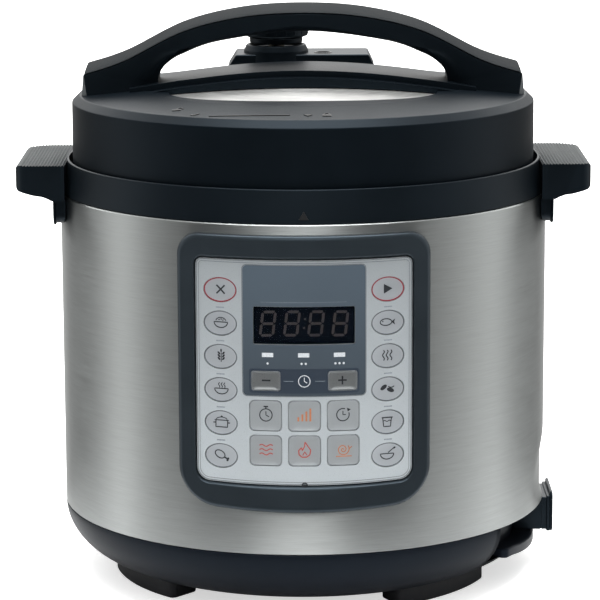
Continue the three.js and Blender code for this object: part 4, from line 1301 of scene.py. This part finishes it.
def make_cap():
    """Grey strip along the top of the arch, its rear edge a little higher than the front one."""
    half = GRIP_HALF
    across = [k / 8 for k in range(-8, 9)]
    cap = []
    for x, z in spline(TOP_LINE, 90):
        crown = [(half * u, z - 2.4 * (0.5 - 0.5 * u) ** 1.6 - 0.5 * u ** 8 - 0.1) for u in across]
        cap.append([(x, y, top) for y, top in [(-half, z - 3.0)] + crown + [(half, z - 3.0)]])
    piece("arch_cap", "lid", [(loft(cap), 0)], [CAP_GREY], ["handle_cap"], 35)


def make_valves():
    outline = rounded([(-43.5, 272), (-43.5, 283, 1.5), (-38.8, 290.5, 2.0), (38.5, 290.5, 2.0),
                       (42, 283, 1.5),
                       (42, 272)], 5)
    pipe_hole = lathe([(0, 260), (9, 260), (9, 300), (0, 300)], 48, VALVE_X, VALVE_Y)
    float_hole = lathe([(0, 260), (3.6, 260), (3.6, 300), (0, 300)], 32, FLOAT_X, FLOAT_Y)
    deck = carve(soft(prism(outline, 45, 82, "y"), 1.0, 3, 40), under_pan(0.5), pipe_hole, float_hole)
    collar = spun([(9.2, 286), (19.2, 286), (18.8, 292.0, 1.2), (17.2, 295.5, 1.2), (15.6, 295.5, 0.6),
                   (15.0, 293.4, 0.6), (9.2, 293.2, 0.4)], 96, VALVE_X, VALVE_Y, 5)
    rim = spun([(3.7, 289.6), (5.6, 289.6), (5.2, 290.9, 0.4), (4.0, 290.9, 0.3)], 48, FLOAT_X, FLOAT_Y)
    piece("valve_deck", "lid", [(deck, 0), (collar, 0), (rim, 1)], [BLACK, MARK_BLACK], ["valve_platform"])
    pipe = spun([(1.6, 278.7), (4.5, 278.7), (4.5, 303, 1.0), (1.6, 303, 0.4)], 48, VALVE_X, VALVE_Y)
    piece("vent_pipe", "lid", [(pipe, 0)], [NICKEL], ["steam_pipe"])
    weight = spun([(0, 303.4), (4.9, 303.4, 0.3), (4.9, 297.5, 0.3), (7.5, 297.5, 0.8), (7.5, 310, 0.6),
                   (0, 310)], 56, VALVE_X, VALVE_Y)
    piece("pressure_weight", "valve_weight", [(weight, 0)], [PRESSED], ["valve_weight"])


def knob_grip(angle):
    """One rib on the knob's rim."""
    c, s = math.cos(angle), math.sin(angle)
    edge = [(VALVE_X + out * c - aside * s, VALVE_Y + out * s + aside * c)
            for out, aside in ((18.3, 0.9), (19.0, 0.5), (19.0, -0.5), (18.3, -0.9))]
    return soft(prism(edge, 301.6, 309.4), 0.2, 2)


def make_knob():
    body = spun([(7.9, 296.3, 0.5), (15.5, 296.3, 0.8), (15.5, 299.4, 0.5), (18.7, 300.6, 0.9),
                 (18.7, 309.8, 1.4), (17, 312.4, 1.0), (0, 312.4), (0, 310.4), (7.9, 310.4, 0.4)],
                96, VALVE_X, VALVE_Y, 5)
    lever = [(VALVE_X - 5, VALVE_Y + 12), (VALVE_X + 5, VALVE_Y + 12), (VALVE_X + 4.2, VALVE_Y + 29, 3.5),
             (VALVE_X - 4.2, VALVE_Y + 29, 3.5)]
    lever = soft(prism(rounded(lever, 5), 303, 309.5), 0.8, 3, 50)
    arrow = [(VALVE_X - 2.4, VALVE_Y + 19), (VALVE_X + 2.4, VALVE_Y + 19), (VALVE_X, VALVE_Y + 24)]
    arrow = filled(arrow, lambda x, out, y: (x, y, 309.5 + out), 0.25, 0.2)
    angles = [2 * math.pi * k / 20 for k in range(20)]
    grips = [(knob_grip(a), 0) for a in angles if abs(a - math.pi / 2) > 0.35]
    piece("valve_knob", "steam_knob", [(body, 0), (lever, 0), (arrow, 1)] + grips, [BLACK, DASH_INK],
          ["steam_knob"])


def make_float_pin():
    pin = spun([(0, 262.8), (4.6, 262.8, 0.5), (4.6, 269.8, 0.6), (2.6, 270.8, 0.3), (2.6, 288.6, 1.2),
                (0, 288.6)], 40, FLOAT_X, FLOAT_Y)
    piece("float_pin", "float_valve", [(pin, 0)], [NICKEL], ["float_valve"])


# ---------- light and floor ----------

# Brightness of the studio's walls by compass angle from the front towards +X, near the floor and higher up.
LOW_WALLS = [(-180, 1.0), (-165, 0.7), (-146, 0.22), (-127, 0.17), (-115, 0.30), (-104, 0.80), (-96, 1.10),
             (-87, 0.70), (-78, 0.36), (-62, 0.20), (-52, 0.05), (-26, 0.02), (26, 0.02), (52, 0.05),
             (62, 0.30), (76, 0.46), (90, 0.74), (101, 1.0), (110, 0.70), (119, 0.30), (135, 0.20),
             (150, 0.22), (168, 0.7), (180, 1.0)]
HIGH_WALLS = [(-180, 3.4), (-165, 3.2), (-146, 2.8), (-127, 2.4), (-115, 0.9), (-104, 0.95), (-96, 1.15),
              (-87, 0.75), (-78, 0.36), (-62, 0.18), (-52, 0.04), (-29, 0.05), (-23, 1.1), (-12, 2.7),
              (0, 3.7), (12, 2.7), (19, 1.0), (25, 0.06), (52, 0.05), (60, 0.30), (76, 0.46), (90, 0.74),
              (101, 1.0), (115, 0.9), (127, 2.4), (146, 2.8), (165, 3.2), (180, 3.4)]


def make_world():
    world = bpy.data.worlds.new("studio")
    world.use_nodes = True
    bpy.context.scene.world = world
    n = Nodes("studio", world.node_tree)
    x, y, z = n.apart(n.add("TexCoord").outputs["Generated"])
    angle = n.math("ARCTAN2", x, n.math("MULTIPLY", y, -1.0))
    place = n.spread(angle, 0.0, 1.0, -math.pi, math.pi)

    def walls(stops):
        ramp = n.add("ValToRGB")
        elements = ramp.color_ramp.elements
        elements.remove(elements[1])
        for k, (degrees, light) in enumerate(stops):
            position = (degrees + 180) / 360
            spot = elements[0] if k == 0 else elements.new(position)
            spot.position = position
            spot.color = (light, light * 0.995, light * 0.98, 1)
        n.link(place, ramp.inputs["Fac"])
        return ramp.outputs["Color"]

    light = n.blend(n.spread(z, 0.0, 1.0, 0.15, 0.5), walls(LOW_WALLS), walls(HIGH_WALLS))
    light = n.blend(n.spread(z, 0.0, 1.0, 0.66, 0.9), light, (1.1, 1.1, 1.1))
    seen = n.add("LightPath").outputs["Is Camera Ray"]
    n.link(n.blend(seen, light, (1.0, 1.0, 1.0)), n.tree.nodes["Background"].inputs["Color"])


def make_lamps():
    data = bpy.data.lights.new("overhead", "SUN")
    data.energy, data.angle = 3.7, math.radians(45)
    lamp = bpy.data.objects.new("overhead", data)
    bpy.context.scene.collection.objects.link(lamp)
    lamp.location = (0, 0, 2)


def make_floor():
    n = Nodes("studio_floor")
    cloud = n.spread(n.noise(2.0), 0.0, 1.0)
    n.paint(n.blend(cloud, (0.90, 0.90, 0.90), (0.93, 0.93, 0.93)))
    n.set(Roughness=0.75, Specular_IOR_Level=0.1, Emission_Color=(1.0, 1.0, 1.0, 1.0))
    glow = n.math("MULTIPLY", n.add("LightPath").outputs["Is Camera Ray"], 0.6)
    n.link(glow, n.shader.inputs["Emission Strength"])
    for name, inner, outer in (("floor_near", 0, 225), ("floor_far", 225, 4600)):
        profile = [(outer, -10), (outer, 0), (inner, 0), (inner, -10)]
        mesh = raw_mesh(lathe(profile, 96), name)
        mesh.materials.append(n.material)
        floor = bpy.data.objects.new(name, mesh)
        bpy.context.scene.collection.objects.link(floor)
        floor.visible_glossy = name == "floor_near"


make_wall()
make_rim_ring()
make_braces()
make_base()
make_feet()
make_chamber()
make_inlet()
make_condensate()
make_boards()
make_bezel()
make_sheet()
make_display()
for key in KEYS:
    make_key(key)
make_pot()
make_lid_pan()
make_lid_cover()
make_arch()
make_valves()
make_knob()
make_float_pin()
make_world()
make_lamps()
make_floor()

scene = bpy.context.scene
scene.view_settings.view_transform = "Standard"
